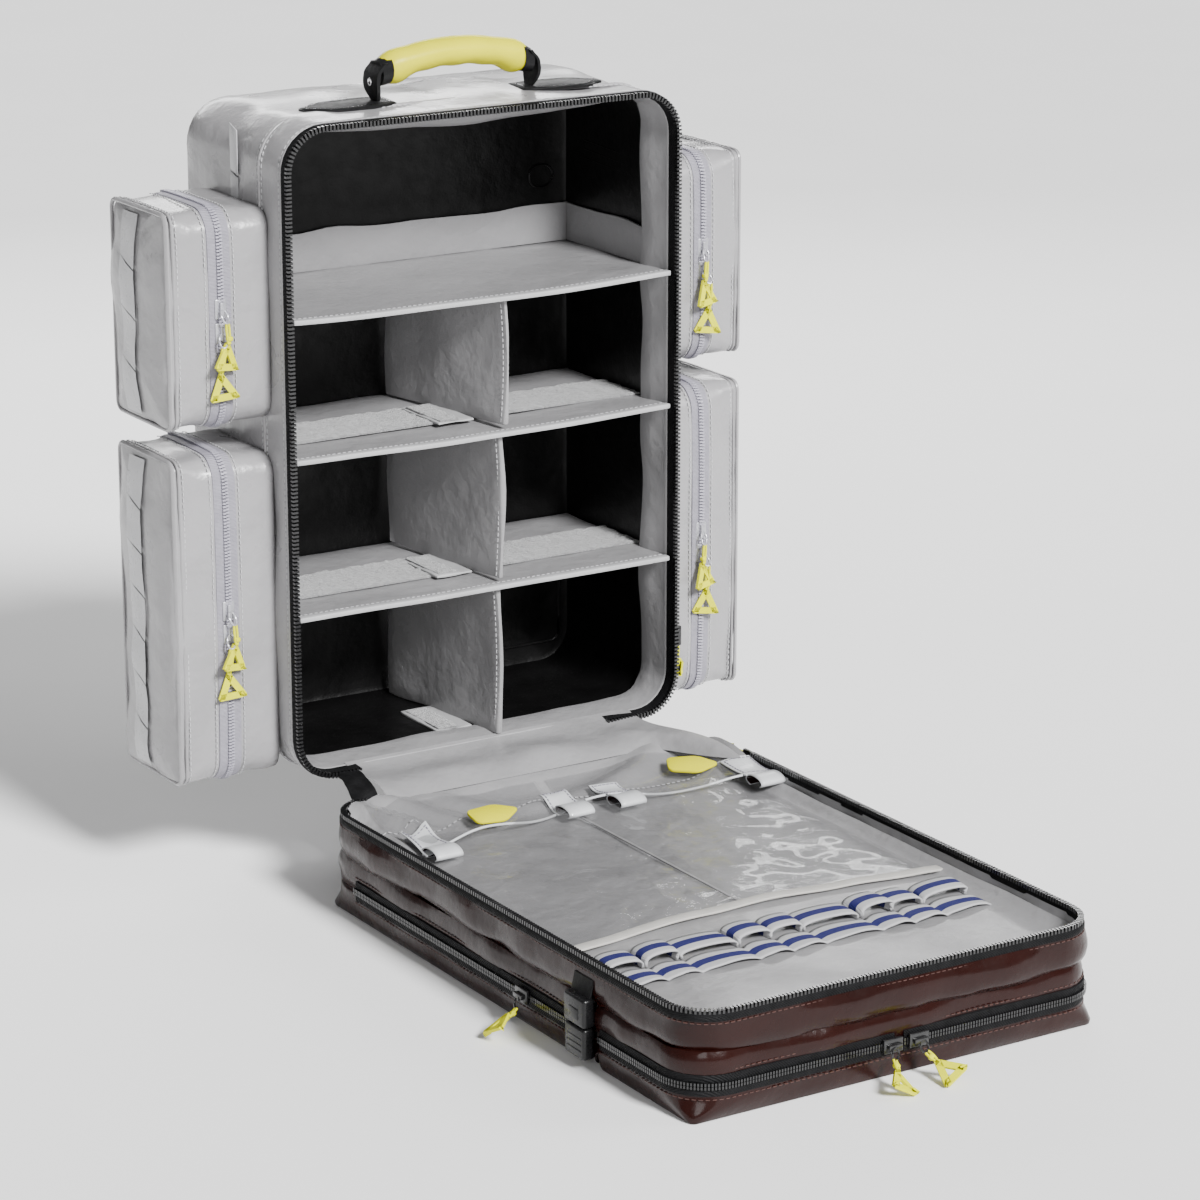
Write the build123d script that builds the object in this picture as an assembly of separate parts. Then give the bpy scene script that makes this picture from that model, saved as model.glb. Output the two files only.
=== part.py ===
from build123d import *
import os

# Trauma backpack with its front lid zipped open and laid flat: millimetres, +Z up, +X to the
# carrier's right as seen from the front. While the parts are built, y is measured from the closing
# plane, where the two halves of the main zip meet: the pack body is behind it, the lid in front.
# Everything is shifted at the end so that the origin is the centre of the footprint.

# pack body
PACK_WIDTH = 384
PACK_HEIGHT = 560
PACK_BACK_Y = 183
CORNER_R = 38
SHELL_T = 4
ZIP_LIP = 13
ZIP_T = 3
BASE_Z = 92
FACING_T = 2
FACING_DEPTH = 32
LINER_T = 1.5
FIT_GAP = 0.3

# lid, lying open on its outer face
LID_LENGTH = 560
LID_GAP = 44
LID_RIM_Z = 88
TRAY_FLOOR_Z = 59
TRAY_WALL_TOP_Z = LID_RIM_Z - ZIP_LIP
TRAY_T = 3
PANEL_T = 4.5

# pockets on the outside of the lid
POCKET_SPLIT_Z = 29
SPLIT_GAP = 0.6
STRAP_GROOVE_Y = -460
STRAP_GROOVE = 10
LID_POCKET_T = 3

# side pockets: how far they stand out, and their front and back at the wall and outside
SIDE_OUT = 90
SIDE_FRONT_Y = (34, 44)
SIDE_BACK_Y = (152, 142)
SIDE_T = 3
SIDE_LEVELS = {"upper": (312, 490), "lower": (4, 282)}

# shelves, as heights above the base, and dividers with the x of their front and back edges
SHELVES = {"upper": 400, "middle": 281, "lower": 145}
SHELF_T = 3
SHELF_FRONT_Y = 6
SHELF_BACK_Y = 176
SHELF_HALF = 184.6
STRIP_T = 1.5
STRIP_Y = (55, 100)
DIVIDER_X = {"upper": (23, -7), "middle": (17, -7), "lower": (14, -8)}
DIVIDER_Y = (14, 168)
DIVIDER_T = 3
FLANGE_H = 35
FLANGE_T = 2.5

# handle
HANDLE_Y = 60
GRIP_HALF = 73
GRIP_WIDTH = 26
GRIP_END_Z = (17, 34)
GRIP_MIDDLE_Z = (31, 53)
WEB_T = 4
WEB_WIDTH = 25
PATCH = (84, 36, 2.2)
PATCH_CORNER_R = 14
PATCH_X = 103
PIVOT_GAP = 2
RIVET_R = 4
RIVET_T = 3

# zip pulls
PULL_T = 3
PULL_WIDTH = 20
PULL_LENGTH = 32
CORD_T = 3
CORD_LENGTH = 18
SIDE_SLIDER = (12, 6, 18)
LID_SLIDER = (18, 6, 12)
LID_PULL_LEAN = 27
FAR_PULL_SPLAY = 12
MAIN_SLIDER_T = 5
MAIN_PULL_T = 3
MAIN_PULL_LENGTH = 40

# the back, with heights above the base
PAD_T = 11
PAD_HALF_X = 130
PAD_HEIGHTS = (130, 525)
STRAP_T = 11
STRAP_X = (45, 105)
STRAP_HEIGHTS = (150, 505)
LUMBAR_T = 13
LUMBAR_HALF_X = 100
LUMBAR_HEIGHTS = (15, 120)
FIN_T = 9.5
FIN_X = (12, 110)
FIN_HINGE_X = 112
FIN_HEIGHTS = (32, 104)
SEAM_GAP = 0.5

TOP_Z = BASE_Z + PACK_HEIGHT
HALF_W = PACK_WIDTH / 2
parts = {}


def block(x, y, z):
    """A box between two values on each axis."""
    size = (x[1] - x[0], y[1] - y[0], z[1] - z[0])
    middle = ((x[0] + x[1]) / 2, (y[0] + y[1]) / 2, (z[0] + z[1]) / 2)
    return Pos(*middle) * Box(*size)


def pack_slab(inset, y):
    """The pack's upright rounded outline, inset all round, as a slab between two values of y."""
    outline = RectangleRounded(PACK_WIDTH - 2 * inset, PACK_HEIGHT - 2 * inset, CORNER_R - inset)
    slab = extrude(Plane.XZ * outline, amount=-(y[1] - y[0]))
    return Pos(0, y[0], BASE_Z + PACK_HEIGHT / 2) * slab


def lid_slab(inset, z):
    """The lid's flat rounded outline, inset all round, as a slab between two values of z."""
    outline = RectangleRounded(PACK_WIDTH - 2 * inset, LID_LENGTH - 2 * inset, CORNER_R - inset)
    return Pos(0, -LID_GAP - LID_LENGTH / 2, z[0]) * extrude(outline, amount=z[1] - z[0])


def left_and_right(name, solid):
    """Save a piece of the left side, and its mirror image for the right side."""
    parts["left_" + name] = solid
    parts["right_" + name] = mirror(solid, about=Plane.YZ)


# pack body: sewn shell, moulded liner, fabric facing and the zip's body half
shell = pack_slab(0, (ZIP_LIP, PACK_BACK_Y))
parts["pack_shell"] = shell - pack_slab(SHELL_T, (ZIP_LIP - 1, PACK_BACK_Y - SHELL_T))

LINING = SHELL_T + FIT_GAP
FACING_BACK_Y = ZIP_LIP + FACING_DEPTH
facing = pack_slab(LINING, (ZIP_LIP, FACING_BACK_Y))
parts["rim_facing"] = facing - pack_slab(LINING + FACING_T, (ZIP_LIP - 1, FACING_BACK_Y + 1))

LINER_BACK_Y = PACK_BACK_Y - LINING
liner = pack_slab(LINING, (FACING_BACK_Y + FIT_GAP, LINER_BACK_Y))
parts["inner_liner"] = liner - pack_slab(LINING + LINER_T, (FACING_BACK_Y, LINER_BACK_Y - LINER_T))

lip = pack_slab(1, (FIT_GAP, ZIP_LIP))
parts["main_zip_pack_side"] = lip - pack_slab(1 + ZIP_T, (-1, ZIP_LIP + 1))

# shelves with their pile strips, and the dividers that stand between them
for level, height in SHELVES.items():
    top = BASE_Z + height
    parts[level + "_shelf"] = block(
        (-SHELF_HALF, SHELF_HALF), (SHELF_FRONT_Y, SHELF_BACK_Y), (top - SHELF_T, top)
    )

flange_z = (BASE_Z + SHELVES["upper"], BASE_Z + SHELVES["upper"] + FLANGE_H)
parts["upper_shelf_flanges"] = Compound(
    [
        block((-SHELF_HALF, SHELF_HALF), (SHELF_BACK_Y - FLANGE_T, SHELF_BACK_Y), flange_z),
        block((SHELF_HALF - FLANGE_T, SHELF_HALF), (60, SHELF_BACK_Y - FLANGE_T - 1), flange_z),
    ]
)

strips = []
for level in ("middle", "lower"):
    top = BASE_Z + SHELVES[level]
    strips.append(block((-SHELF_HALF, SHELF_HALF), STRIP_Y, (top, top + STRIP_T)))
parts["loop_strips"] = Compound(strips)

LINER_FLOOR_Z = BASE_Z + LINING + FACING_T
FLOORS = {
    "upper": BASE_Z + SHELVES["middle"] + STRIP_T + FIT_GAP,
    "middle": BASE_Z + SHELVES["lower"] + STRIP_T + FIT_GAP,
    "lower": LINER_FLOOR_Z + FIT_GAP,
}
TAB_WIDTH = 32
TAB_Y = (45, 110)
TAB_T = 1.2
for level, (front_x, back_x) in DIVIDER_X.items():
    low = FLOORS[level]
    high = BASE_Z + SHELVES[level] - SHELF_T - FIT_GAP
    half = DIVIDER_T / 2
    corners = [
        (front_x - half, DIVIDER_Y[0]),
        (front_x + half, DIVIDER_Y[0]),
        (back_x + half, DIVIDER_Y[1]),
        (back_x - half, DIVIDER_Y[1]),
    ]
    sheet = extrude(make_face(Polyline(corners, close=True)), amount=high - low)
    middle_x = (front_x + back_x) / 2
    tab = block((middle_x - TAB_WIDTH, middle_x), TAB_Y, (low, low + TAB_T))
    parts[level + "_divider"] = Pos(0, 0, low) * sheet + tab

# carrying handle: a moulded grip on two webbing ends, each held by a rivet over a sewn patch
patch = extrude(RectangleRounded(PATCH[0], PATCH[1], PATCH_CORNER_R), amount=PATCH[2])
parts["handle_patches"] = Compound(
    [Pos(-PATCH_X, HANDLE_Y, TOP_Z) * patch, Pos(PATCH_X, HANDLE_Y, TOP_Z) * patch]
)

grip_outline = make_face(
    ThreePointArc((-GRIP_HALF, GRIP_END_Z[0]), (0, GRIP_MIDDLE_Z[0]), (GRIP_HALF, GRIP_END_Z[0]))
    + Line((GRIP_HALF, GRIP_END_Z[0]), (GRIP_HALF, GRIP_END_Z[1]))
    + ThreePointArc((GRIP_HALF, GRIP_END_Z[1]), (0, GRIP_MIDDLE_Z[1]), (-GRIP_HALF, GRIP_END_Z[1]))
    + Line((-GRIP_HALF, GRIP_END_Z[1]), (-GRIP_HALF, GRIP_END_Z[0]))
)
grip = extrude(Plane.XZ * grip_outline, amount=GRIP_WIDTH / 2, both=True)
parts["handle_grip"] = Pos(0, HANDLE_Y, TOP_Z) * grip

HANDLE_PIVOT_Z = TOP_Z + PATCH[2] + PIVOT_GAP
WEB_TOP = GRIP_END_Z[1] - PATCH[2] - PIVOT_GAP
WEB_SHOULDER = 13
half = WEB_WIDTH / 2
web_outline = make_face(
    Polyline(
        (-2, 0), (2, 0), (half, WEB_SHOULDER), (half, WEB_TOP), (-half, WEB_TOP), (-half, WEB_SHOULDER),
        close=True,
    )
)
web_x = GRIP_HALF + FIT_GAP
web = Pos(web_x, HANDLE_Y, HANDLE_PIVOT_Z) * extrude(Plane.YZ * web_outline, amount=WEB_T)
rivet_place = Pos(web_x + WEB_T + RIVET_T / 2, HANDLE_Y, HANDLE_PIVOT_Z + WEB_SHOULDER + RIVET_R)
rivet = rivet_place * Rot(0, 90, 0) * Cylinder(RIVET_R, RIVET_T)
parts["handle_webbing"] = Compound([web, mirror(web, about=Plane.YZ)])
parts["handle_rivets"] = Compound([rivet, mirror(rivet, about=Plane.YZ)])


# side pockets: a base sewn to the wall and a cover that folds back on the rear edge
def side_wedge(out, inset, z):
    """A slice of a left side pocket between two distances out from the wall, inset on four sides."""
    points = []
    for edge, sign in ((SIDE_FRONT_Y, 1), (SIDE_BACK_Y, -1)):
        ends = [(d, edge[0] + (edge[1] - edge[0]) * d / SIDE_OUT + sign * inset) for d in out]
        points += ends if sign > 0 else ends[::-1]
    corners = [(-HALF_W - d, y) for d, y in points]
    outline = make_face(Polyline(corners, close=True))
    return Pos(0, 0, z[0] + inset) * extrude(outline, amount=z[1] - z[0] - 2 * inset)


SIDE_SPLIT = SIDE_OUT / 2
BASE_OUT = (0.2, SIDE_SPLIT - SPLIT_GAP / 2)
COVER_OUT = (SIDE_SPLIT + SPLIT_GAP / 2, SIDE_OUT)
SIDE_FACE_Y = (SIDE_FRONT_Y[0] + SIDE_FRONT_Y[1]) / 2
SIDE_HINGE_Y = (SIDE_BACK_Y[0] + SIDE_BACK_Y[1]) / 2
TAPE_T = 1
TAPE_WIDTH = 8
SLIDER_BACK_Y = SIDE_FACE_Y - TAPE_T - 1.5
SLIDER_FRONT_Y = SLIDER_BACK_Y - SIDE_SLIDER[1]


def side_slider(x_shift, y_front, slider_z, pull_top_z):
    """A zip slider with a flat cord and a three-cornered pull that hangs in front of the pocket."""
    x = -HALF_W - SIDE_SPLIT
    half = SIDE_SLIDER[0] / 2
    body = block((x - half, x + half), (SLIDER_FRONT_Y, SLIDER_BACK_Y), slider_z)
    cord_x = (x + x_shift - CORD_T / 2, x + x_shift + CORD_T / 2)
    cord = block(cord_x, (y_front, y_front + PULL_T), (pull_top_z - 1, slider_z[0] + 12))
    cord += block(cord_x, (y_front, SLIDER_FRONT_Y + 1), (slider_z[0] + 6, slider_z[0] + 12))
    triangle = make_face(
        Polyline((-3, 0), (3, 0), (PULL_WIDTH / 2, -PULL_LENGTH), (-PULL_WIDTH / 2, -PULL_LENGTH),
                 close=True)
    )
    pull = extrude(Plane.XZ * triangle, amount=-PULL_T)
    return body + cord + Pos(x + x_shift, y_front, pull_top_z) * pull


tapes = []
for level, (low, high) in SIDE_LEVELS.items():
    z = (BASE_Z + low, BASE_Z + high)
    middle_z = (z[0] + z[1]) / 2
    base = side_wedge(BASE_OUT, 0, z)
    base -= side_wedge((BASE_OUT[0] + SIDE_T, BASE_OUT[1] + 1), SIDE_T, z)
    left_and_right(level + "_pocket_base", base)
    cover = side_wedge(COVER_OUT, 0, z)
    cover -= side_wedge((COVER_OUT[0] - 1, COVER_OUT[1] - SIDE_T), SIDE_T, z)
    left_and_right(level + "_pocket_cover", cover)

    tape_out = (BASE_OUT[1] - TAPE_WIDTH, BASE_OUT[1])
    tape = side_wedge(tape_out, -TAPE_T, z)
    tape -= side_wedge((tape_out[0] - 1, tape_out[1] + 1), 0, z)
    tape -= block((-400, 0), (SIDE_BACK_Y[1] - 12, 300), (0, TOP_Z))
    tapes += [tape, mirror(tape, about=Plane.YZ)]

    above = (middle_z + 1, middle_z + 1 + SIDE_SLIDER[2])
    below = (middle_z - 1 - SIDE_SLIDER[2], middle_z - 1)
    upper = side_slider(3, SLIDER_FRONT_Y - 7, above, middle_z - 14)
    lower = side_slider(-4, SLIDER_FRONT_Y - 3, below, middle_z - 40)
    left_and_right(level + "_pocket_top_slider", upper)
    left_and_right(level + "_pocket_bottom_slider", lower)
parts["side_pocket_zips"] = Compound(tapes)

# the back: padding, hip belt and shoulder straps, stowed flat
def above_base(heights):
    """Two heights above the base, as values of z."""
    return (BASE_Z + heights[0], BASE_Z + heights[1])


pad_y = (PACK_BACK_Y, PACK_BACK_Y + PAD_T)
parts["back_pad"] = block((-PAD_HALF_X, PAD_HALF_X), pad_y, above_base(PAD_HEIGHTS))
lumbar_y = (PACK_BACK_Y, PACK_BACK_Y + LUMBAR_T)
parts["hip_belt_pad"] = block((-LUMBAR_HALF_X, LUMBAR_HALF_X), lumbar_y, above_base(LUMBAR_HEIGHTS))
STRAP_HINGE_Y = PACK_BACK_Y + PAD_T + SEAM_GAP
STRAP_Z = above_base(STRAP_HEIGHTS)
strap_y = (STRAP_HINGE_Y, STRAP_HINGE_Y + STRAP_T)
left_and_right("shoulder_strap", block((-STRAP_X[1], -STRAP_X[0]), strap_y, STRAP_Z))
FIN_HINGE_Y = PACK_BACK_Y + LUMBAR_T + SEAM_GAP
fin_y = (FIN_HINGE_Y, FIN_HINGE_Y + FIN_T)
left_and_right("hip_fin", block((-FIN_X[1], -FIN_X[0]), fin_y, above_base(FIN_HEIGHTS)))

# lid: tray, stiff inner panel and the zip's lid half
tray = lid_slab(0, (TRAY_FLOOR_Z, TRAY_WALL_TOP_Z))
parts["lid_tray"] = tray - lid_slab(TRAY_T, (TRAY_FLOOR_Z + TRAY_T, TRAY_WALL_TOP_Z + 1))
PANEL_Z = TRAY_FLOOR_Z + TRAY_T + FIT_GAP
PANEL_TOP_Z = PANEL_Z + PANEL_T
parts["lid_inner_panel"] = lid_slab(TRAY_T + 1, (PANEL_Z, PANEL_TOP_Z))
lid_lip = lid_slab(1, (TRAY_WALL_TOP_Z, LID_RIM_Z - FIT_GAP))
parts["main_zip_lid_side"] = lid_lip - lid_slab(1 + ZIP_T, (TRAY_WALL_TOP_Z - 1, LID_RIM_Z + 1))

# fabric gusset that joins the lid to the body along the bottom, under the body's base
GUSSET_HALF_X = 150
GUSSET_Z = (LID_RIM_Z + 1, BASE_Z - SEAM_GAP)
gusset_y = (-LID_GAP, ZIP_LIP - FIT_GAP)
parts["hinge_gusset"] = block((-GUSSET_HALF_X, GUSSET_HALF_X), gusset_y, GUSSET_Z)

# clear pouches inside the lid and the flaps that close their mouths
POUCH_X = (5, 172)
POUCH_Y = (-408, -130)
FLAP_Y = (-126, -64)
FLAP_Z = PANEL_TOP_Z + 5
pouch = block((-POUCH_X[1], -POUCH_X[0]), POUCH_Y, (PANEL_TOP_Z, PANEL_TOP_Z + 2.5))
parts["clear_pouches"] = Compound([pouch, mirror(pouch, about=Plane.YZ)])
left_and_right("clear_flap", block((-POUCH_X[1], -POUCH_X[0]), FLAP_Y, (FLAP_Z, FLAP_Z + 2)))

# elastic loops: a bulging row with legs and tops, and a flat band beside it
LOOP_WIDTHS = (31, 31, 54, 31, 31, 54, 31, 31, 44)
LOOP_Y = (-460, -434)
LOOP_TOP_Z = PANEL_TOP_Z + 14
LOOP_T = 2
BAND_Y = (-492, -466)
loops = [block((-172, 172), BAND_Y, (PANEL_TOP_Z, PANEL_TOP_Z + LOOP_T))]
loop_boxes = []
leg_x = -sum(LOOP_WIDTHS) / 2
loops.append(block((leg_x - 1, leg_x + 1), LOOP_Y, (PANEL_TOP_Z, LOOP_TOP_Z)))
for width in LOOP_WIDTHS:
    loops.append(block((leg_x + 1, leg_x + width - 1), LOOP_Y, (LOOP_TOP_Z - LOOP_T, LOOP_TOP_Z)))
    loop_boxes.append((leg_x + 1, leg_x + width - 1))
    leg_x += width
    loops.append(block((leg_x - 1, leg_x + 1), LOOP_Y, (PANEL_TOP_Z, LOOP_TOP_Z)))
parts["elastic_loops"] = Compound(loops)

# pockets on the outside of the lid: a base under the tray and a cover that folds down; the hinge
# pocket folds at its zip level, the far pocket at the foot of its wall along the strap groove
LID_POCKETS = {
    "hinge": (STRAP_GROOVE_Y + STRAP_GROOVE / 2, -LID_GAP),
    "far": (-LID_GAP - LID_LENGTH, STRAP_GROOVE_Y - STRAP_GROOVE / 2),
}
BASE_Z_RANGE = (POCKET_SPLIT_Z + SPLIT_GAP / 2, TRAY_FLOOR_Z)
COVER_Z_RANGE = (0, POCKET_SPLIT_Z - SPLIT_GAP / 2)


def lid_pocket(y, inset, z):
    """A slice of a lid pocket: the lid's outline cut off at the strap groove."""
    return lid_slab(inset, z) & block((-HALF_W, HALF_W), (y[0] + inset, y[1] - inset), z)


for place, y in LID_POCKETS.items():
    low, high = BASE_Z_RANGE
    base = lid_pocket(y, 0, (low, high)) - lid_pocket(y, LID_POCKET_T, (low - 1, high - 2))
    low, high = COVER_Z_RANGE
    cover = lid_pocket(y, 0, (low, high)) - lid_pocket(y, LID_POCKET_T, (low + LID_POCKET_T, high + 1))
    if place == "far":
        wall_y = (y[1] - LID_POCKET_T, y[1])
        base += block((-HALF_W, HALF_W), wall_y, (LID_POCKET_T + FIT_GAP, BASE_Z_RANGE[0]))
        cover -= block((-HALF_W, HALF_W), (wall_y[0] - FIT_GAP, y[1] + 1), (LID_POCKET_T, high + 1))
    parts[place + "_pocket_base"] = base
    parts[place + "_pocket_cover"] = cover

# sliders of the lid pockets, with pulls that lean out to the floor
FACE_GAP = 2.5


def lid_slider(lean, splay):
    """A slider standing on a face at y = 0 that looks along -Y, its pull leaning down to the floor."""
    half = LID_SLIDER[0] / 2
    z = (POCKET_SPLIT_Z - LID_SLIDER[2] / 2, POCKET_SPLIT_Z + LID_SLIDER[2] / 2)
    body = block((-half, half), (-FACE_GAP - LID_SLIDER[1], -FACE_GAP), z)
    reach = LID_SLIDER[1] + FACE_GAP
    end = PULL_WIDTH / 2
    tip = CORD_LENGTH + PULL_LENGTH
    corners = [(2, 0), (2, CORD_LENGTH), (3, CORD_LENGTH), (end, tip)]
    corners += [(-x, y) for x, y in corners[::-1]]
    outline = make_face(Polyline(corners, close=True))
    pull = Rot(0, 0, splay) * Rot(180 + lean, 0, 0) * extrude(outline, amount=PULL_T)
    return body + Pos(0, -reach + 2, POCKET_SPLIT_Z) * pull


FAR_SLIDER_X = 12
far_face = -LID_GAP - LID_LENGTH
for side, sign in (("left", -1), ("right", 1)):
    slider = lid_slider(LID_PULL_LEAN, sign * FAR_PULL_SPLAY)
    parts["far_pocket_" + side + "_slider"] = Pos(sign * FAR_SLIDER_X, far_face, 0) * slider
SIDE_SLIDER_Y = -372
slider = Rot(0, 0, -90) * lid_slider(LID_PULL_LEAN, 0)
parts["hinge_pocket_slider"] = Pos(-HALF_W, SIDE_SLIDER_Y, 0) * slider

# sliders of the main zip, parked at the hinge end of the right side, with flat pulls
slider_x = (HALF_W + FIT_GAP, HALF_W + MAIN_SLIDER_T)
main_pull_x = (slider_x[1] - MAIN_PULL_T, slider_x[1])
slider_z = above_base((60, 80))
slider = block(slider_x, (1.5, ZIP_LIP - 1), slider_z)
pull = block(main_pull_x, (3, ZIP_LIP - 2), (slider_z[0] - MAIN_PULL_LENGTH, slider_z[0] + 1))
parts["main_zip_body_slider"] = slider + pull
slider_y = (-120, -100)
slider_z = (TRAY_WALL_TOP_Z + 1, LID_RIM_Z - 1.5)
slider = block(slider_x, slider_y, slider_z)
pull_y = (slider_y[1] - 1, slider_y[1] - 1 + MAIN_PULL_LENGTH)
pull = block(main_pull_x, pull_y, (slider_z[0] + 1, slider_z[1] - 1.5))
parts["main_zip_lid_slider"] = slider + pull

# compression straps in the groove between the lid pockets, with side-release buckles
BUCKLE_X = (-HALF_W - 12, -HALF_W - SEAM_GAP)
BUCKLE_Y = (STRAP_GROOVE_Y - 15, STRAP_GROOVE_Y + 15)
BUCKLE_WALL = 2
PLUG_LOW_Z = 10
SOCKET_Z = (36, 60)
PRONG_WIDTH = 5
web_y = (BUCKLE_Y[0] + BUCKLE_WALL, BUCKLE_Y[1] - BUCKLE_WALL)
strap_web = block((-HALF_W - 3.5, -HALF_W - FIT_GAP), web_y, (SOCKET_Z[1], TRAY_WALL_TOP_Z - 1))
socket = block(BUCKLE_X, BUCKLE_Y, SOCKET_Z)
inner_x = (BUCKLE_X[0] + BUCKLE_WALL, BUCKLE_X[1] - BUCKLE_WALL)
inner_y = (BUCKLE_Y[0] + 3, BUCKLE_Y[1] - 3)
socket -= block(inner_x, inner_y, (SOCKET_Z[0] - 1, SOCKET_Z[1] - 3))
parts["compression_straps"] = Compound([strap_web, mirror(strap_web, about=Plane.YZ)])
parts["buckle_sockets"] = Compound([socket, mirror(socket, about=Plane.YZ)])
plug = block(BUCKLE_X, BUCKLE_Y, (PLUG_LOW_Z, SOCKET_Z[0] - SEAM_GAP))
prong_x = (inner_x[0] + 1, inner_x[1] - 1)
for prong_y in (inner_y[0] + 1, inner_y[1] - 1 - PRONG_WIDTH):
    plug += block(prong_x, (prong_y, prong_y + PRONG_WIDTH), (SOCKET_Z[0] - 6, SOCKET_Z[1] - 6))
left_and_right("buckle_plug", plug)

# put the origin at the centre of the footprint and write one file for each piece
whole = Compound([solid for piece in parts.values() for solid in piece.solids()]).bounding_box()
SHIFT_Y = -(whole.min.Y + whole.max.Y) / 2
print("shift", SHIFT_Y, "box", whole.size, "pieces", len(parts))
os.makedirs("parts", exist_ok=True)
for name, piece in parts.items():
    export_step(Pos(0, SHIFT_Y, 0) * piece, "parts/" + name + ".step")
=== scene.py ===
from math import atan2, cos, pi, radians, sin, sqrt

import bmesh
import bpy
from mathutils import Matrix, Vector, noise


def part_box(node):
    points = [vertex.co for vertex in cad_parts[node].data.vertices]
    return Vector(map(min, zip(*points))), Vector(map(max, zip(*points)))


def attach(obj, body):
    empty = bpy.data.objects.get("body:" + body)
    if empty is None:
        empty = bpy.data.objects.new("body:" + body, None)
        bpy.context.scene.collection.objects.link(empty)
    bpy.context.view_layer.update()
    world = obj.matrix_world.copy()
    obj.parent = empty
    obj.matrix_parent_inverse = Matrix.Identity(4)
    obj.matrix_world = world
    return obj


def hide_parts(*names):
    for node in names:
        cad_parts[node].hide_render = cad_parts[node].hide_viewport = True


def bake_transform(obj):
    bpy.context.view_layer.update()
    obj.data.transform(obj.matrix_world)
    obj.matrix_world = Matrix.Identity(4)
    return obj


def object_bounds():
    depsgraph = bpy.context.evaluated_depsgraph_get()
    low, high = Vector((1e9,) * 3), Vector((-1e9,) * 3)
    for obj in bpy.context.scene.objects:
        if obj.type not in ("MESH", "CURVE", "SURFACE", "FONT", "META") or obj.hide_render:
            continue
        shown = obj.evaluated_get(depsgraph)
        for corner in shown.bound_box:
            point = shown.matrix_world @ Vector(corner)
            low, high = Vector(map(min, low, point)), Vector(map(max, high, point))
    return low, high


# Looks of an emergency backpack that stands open on its laid-down lid. Metres; x to the right,
# y from the open lid towards the carrier's back, z up.
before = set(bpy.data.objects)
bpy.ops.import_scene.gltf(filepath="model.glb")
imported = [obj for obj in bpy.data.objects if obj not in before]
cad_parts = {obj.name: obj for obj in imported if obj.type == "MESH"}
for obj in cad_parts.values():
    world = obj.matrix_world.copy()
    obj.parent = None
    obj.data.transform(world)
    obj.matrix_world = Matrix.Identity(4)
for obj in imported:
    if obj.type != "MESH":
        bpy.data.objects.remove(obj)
CAD_LOW, CAD_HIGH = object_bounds()

X, Y, Z = Vector((1, 0, 0)), Vector((0, 1, 0)), Vector((0, 0, 1))

# places read from the frame
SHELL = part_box("pack_shell")
PACK_W = SHELL[1].x - SHELL[0].x
PACK_H = SHELL[1].z - SHELL[0].z
HALF_W = PACK_W / 2
BASE_Z, TOP_Z = SHELL[0].z, SHELL[1].z
PACK_MID_Z = (BASE_Z + TOP_Z) / 2
CLOSE_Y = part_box("main_zip_pack_side")[0].y - 0.0003
LIP = SHELL[0].y - CLOSE_Y
BACK = SHELL[1].y - CLOSE_Y
CORNER_R = 0.038
FACING_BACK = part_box("rim_facing")[1].y - CLOSE_Y
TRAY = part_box("lid_tray")
LID_L = TRAY[1].y - TRAY[0].y
LID_MID_Y = (TRAY[0].y + TRAY[1].y) / 2
HINGE_EDGE_Y, FAR_EDGE_Y = TRAY[1].y, TRAY[0].y
RIM_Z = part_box("main_zip_lid_side")[1].z
PANEL_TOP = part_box("lid_inner_panel")[1].z
SPLIT_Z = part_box("hinge_pocket_base")[0].z - 0.0003
FLOOR_Z = CAD_LOW.z
ZIP_SHOWS = 0.0068


# ---------------------------------------------------------------- finishes

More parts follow.
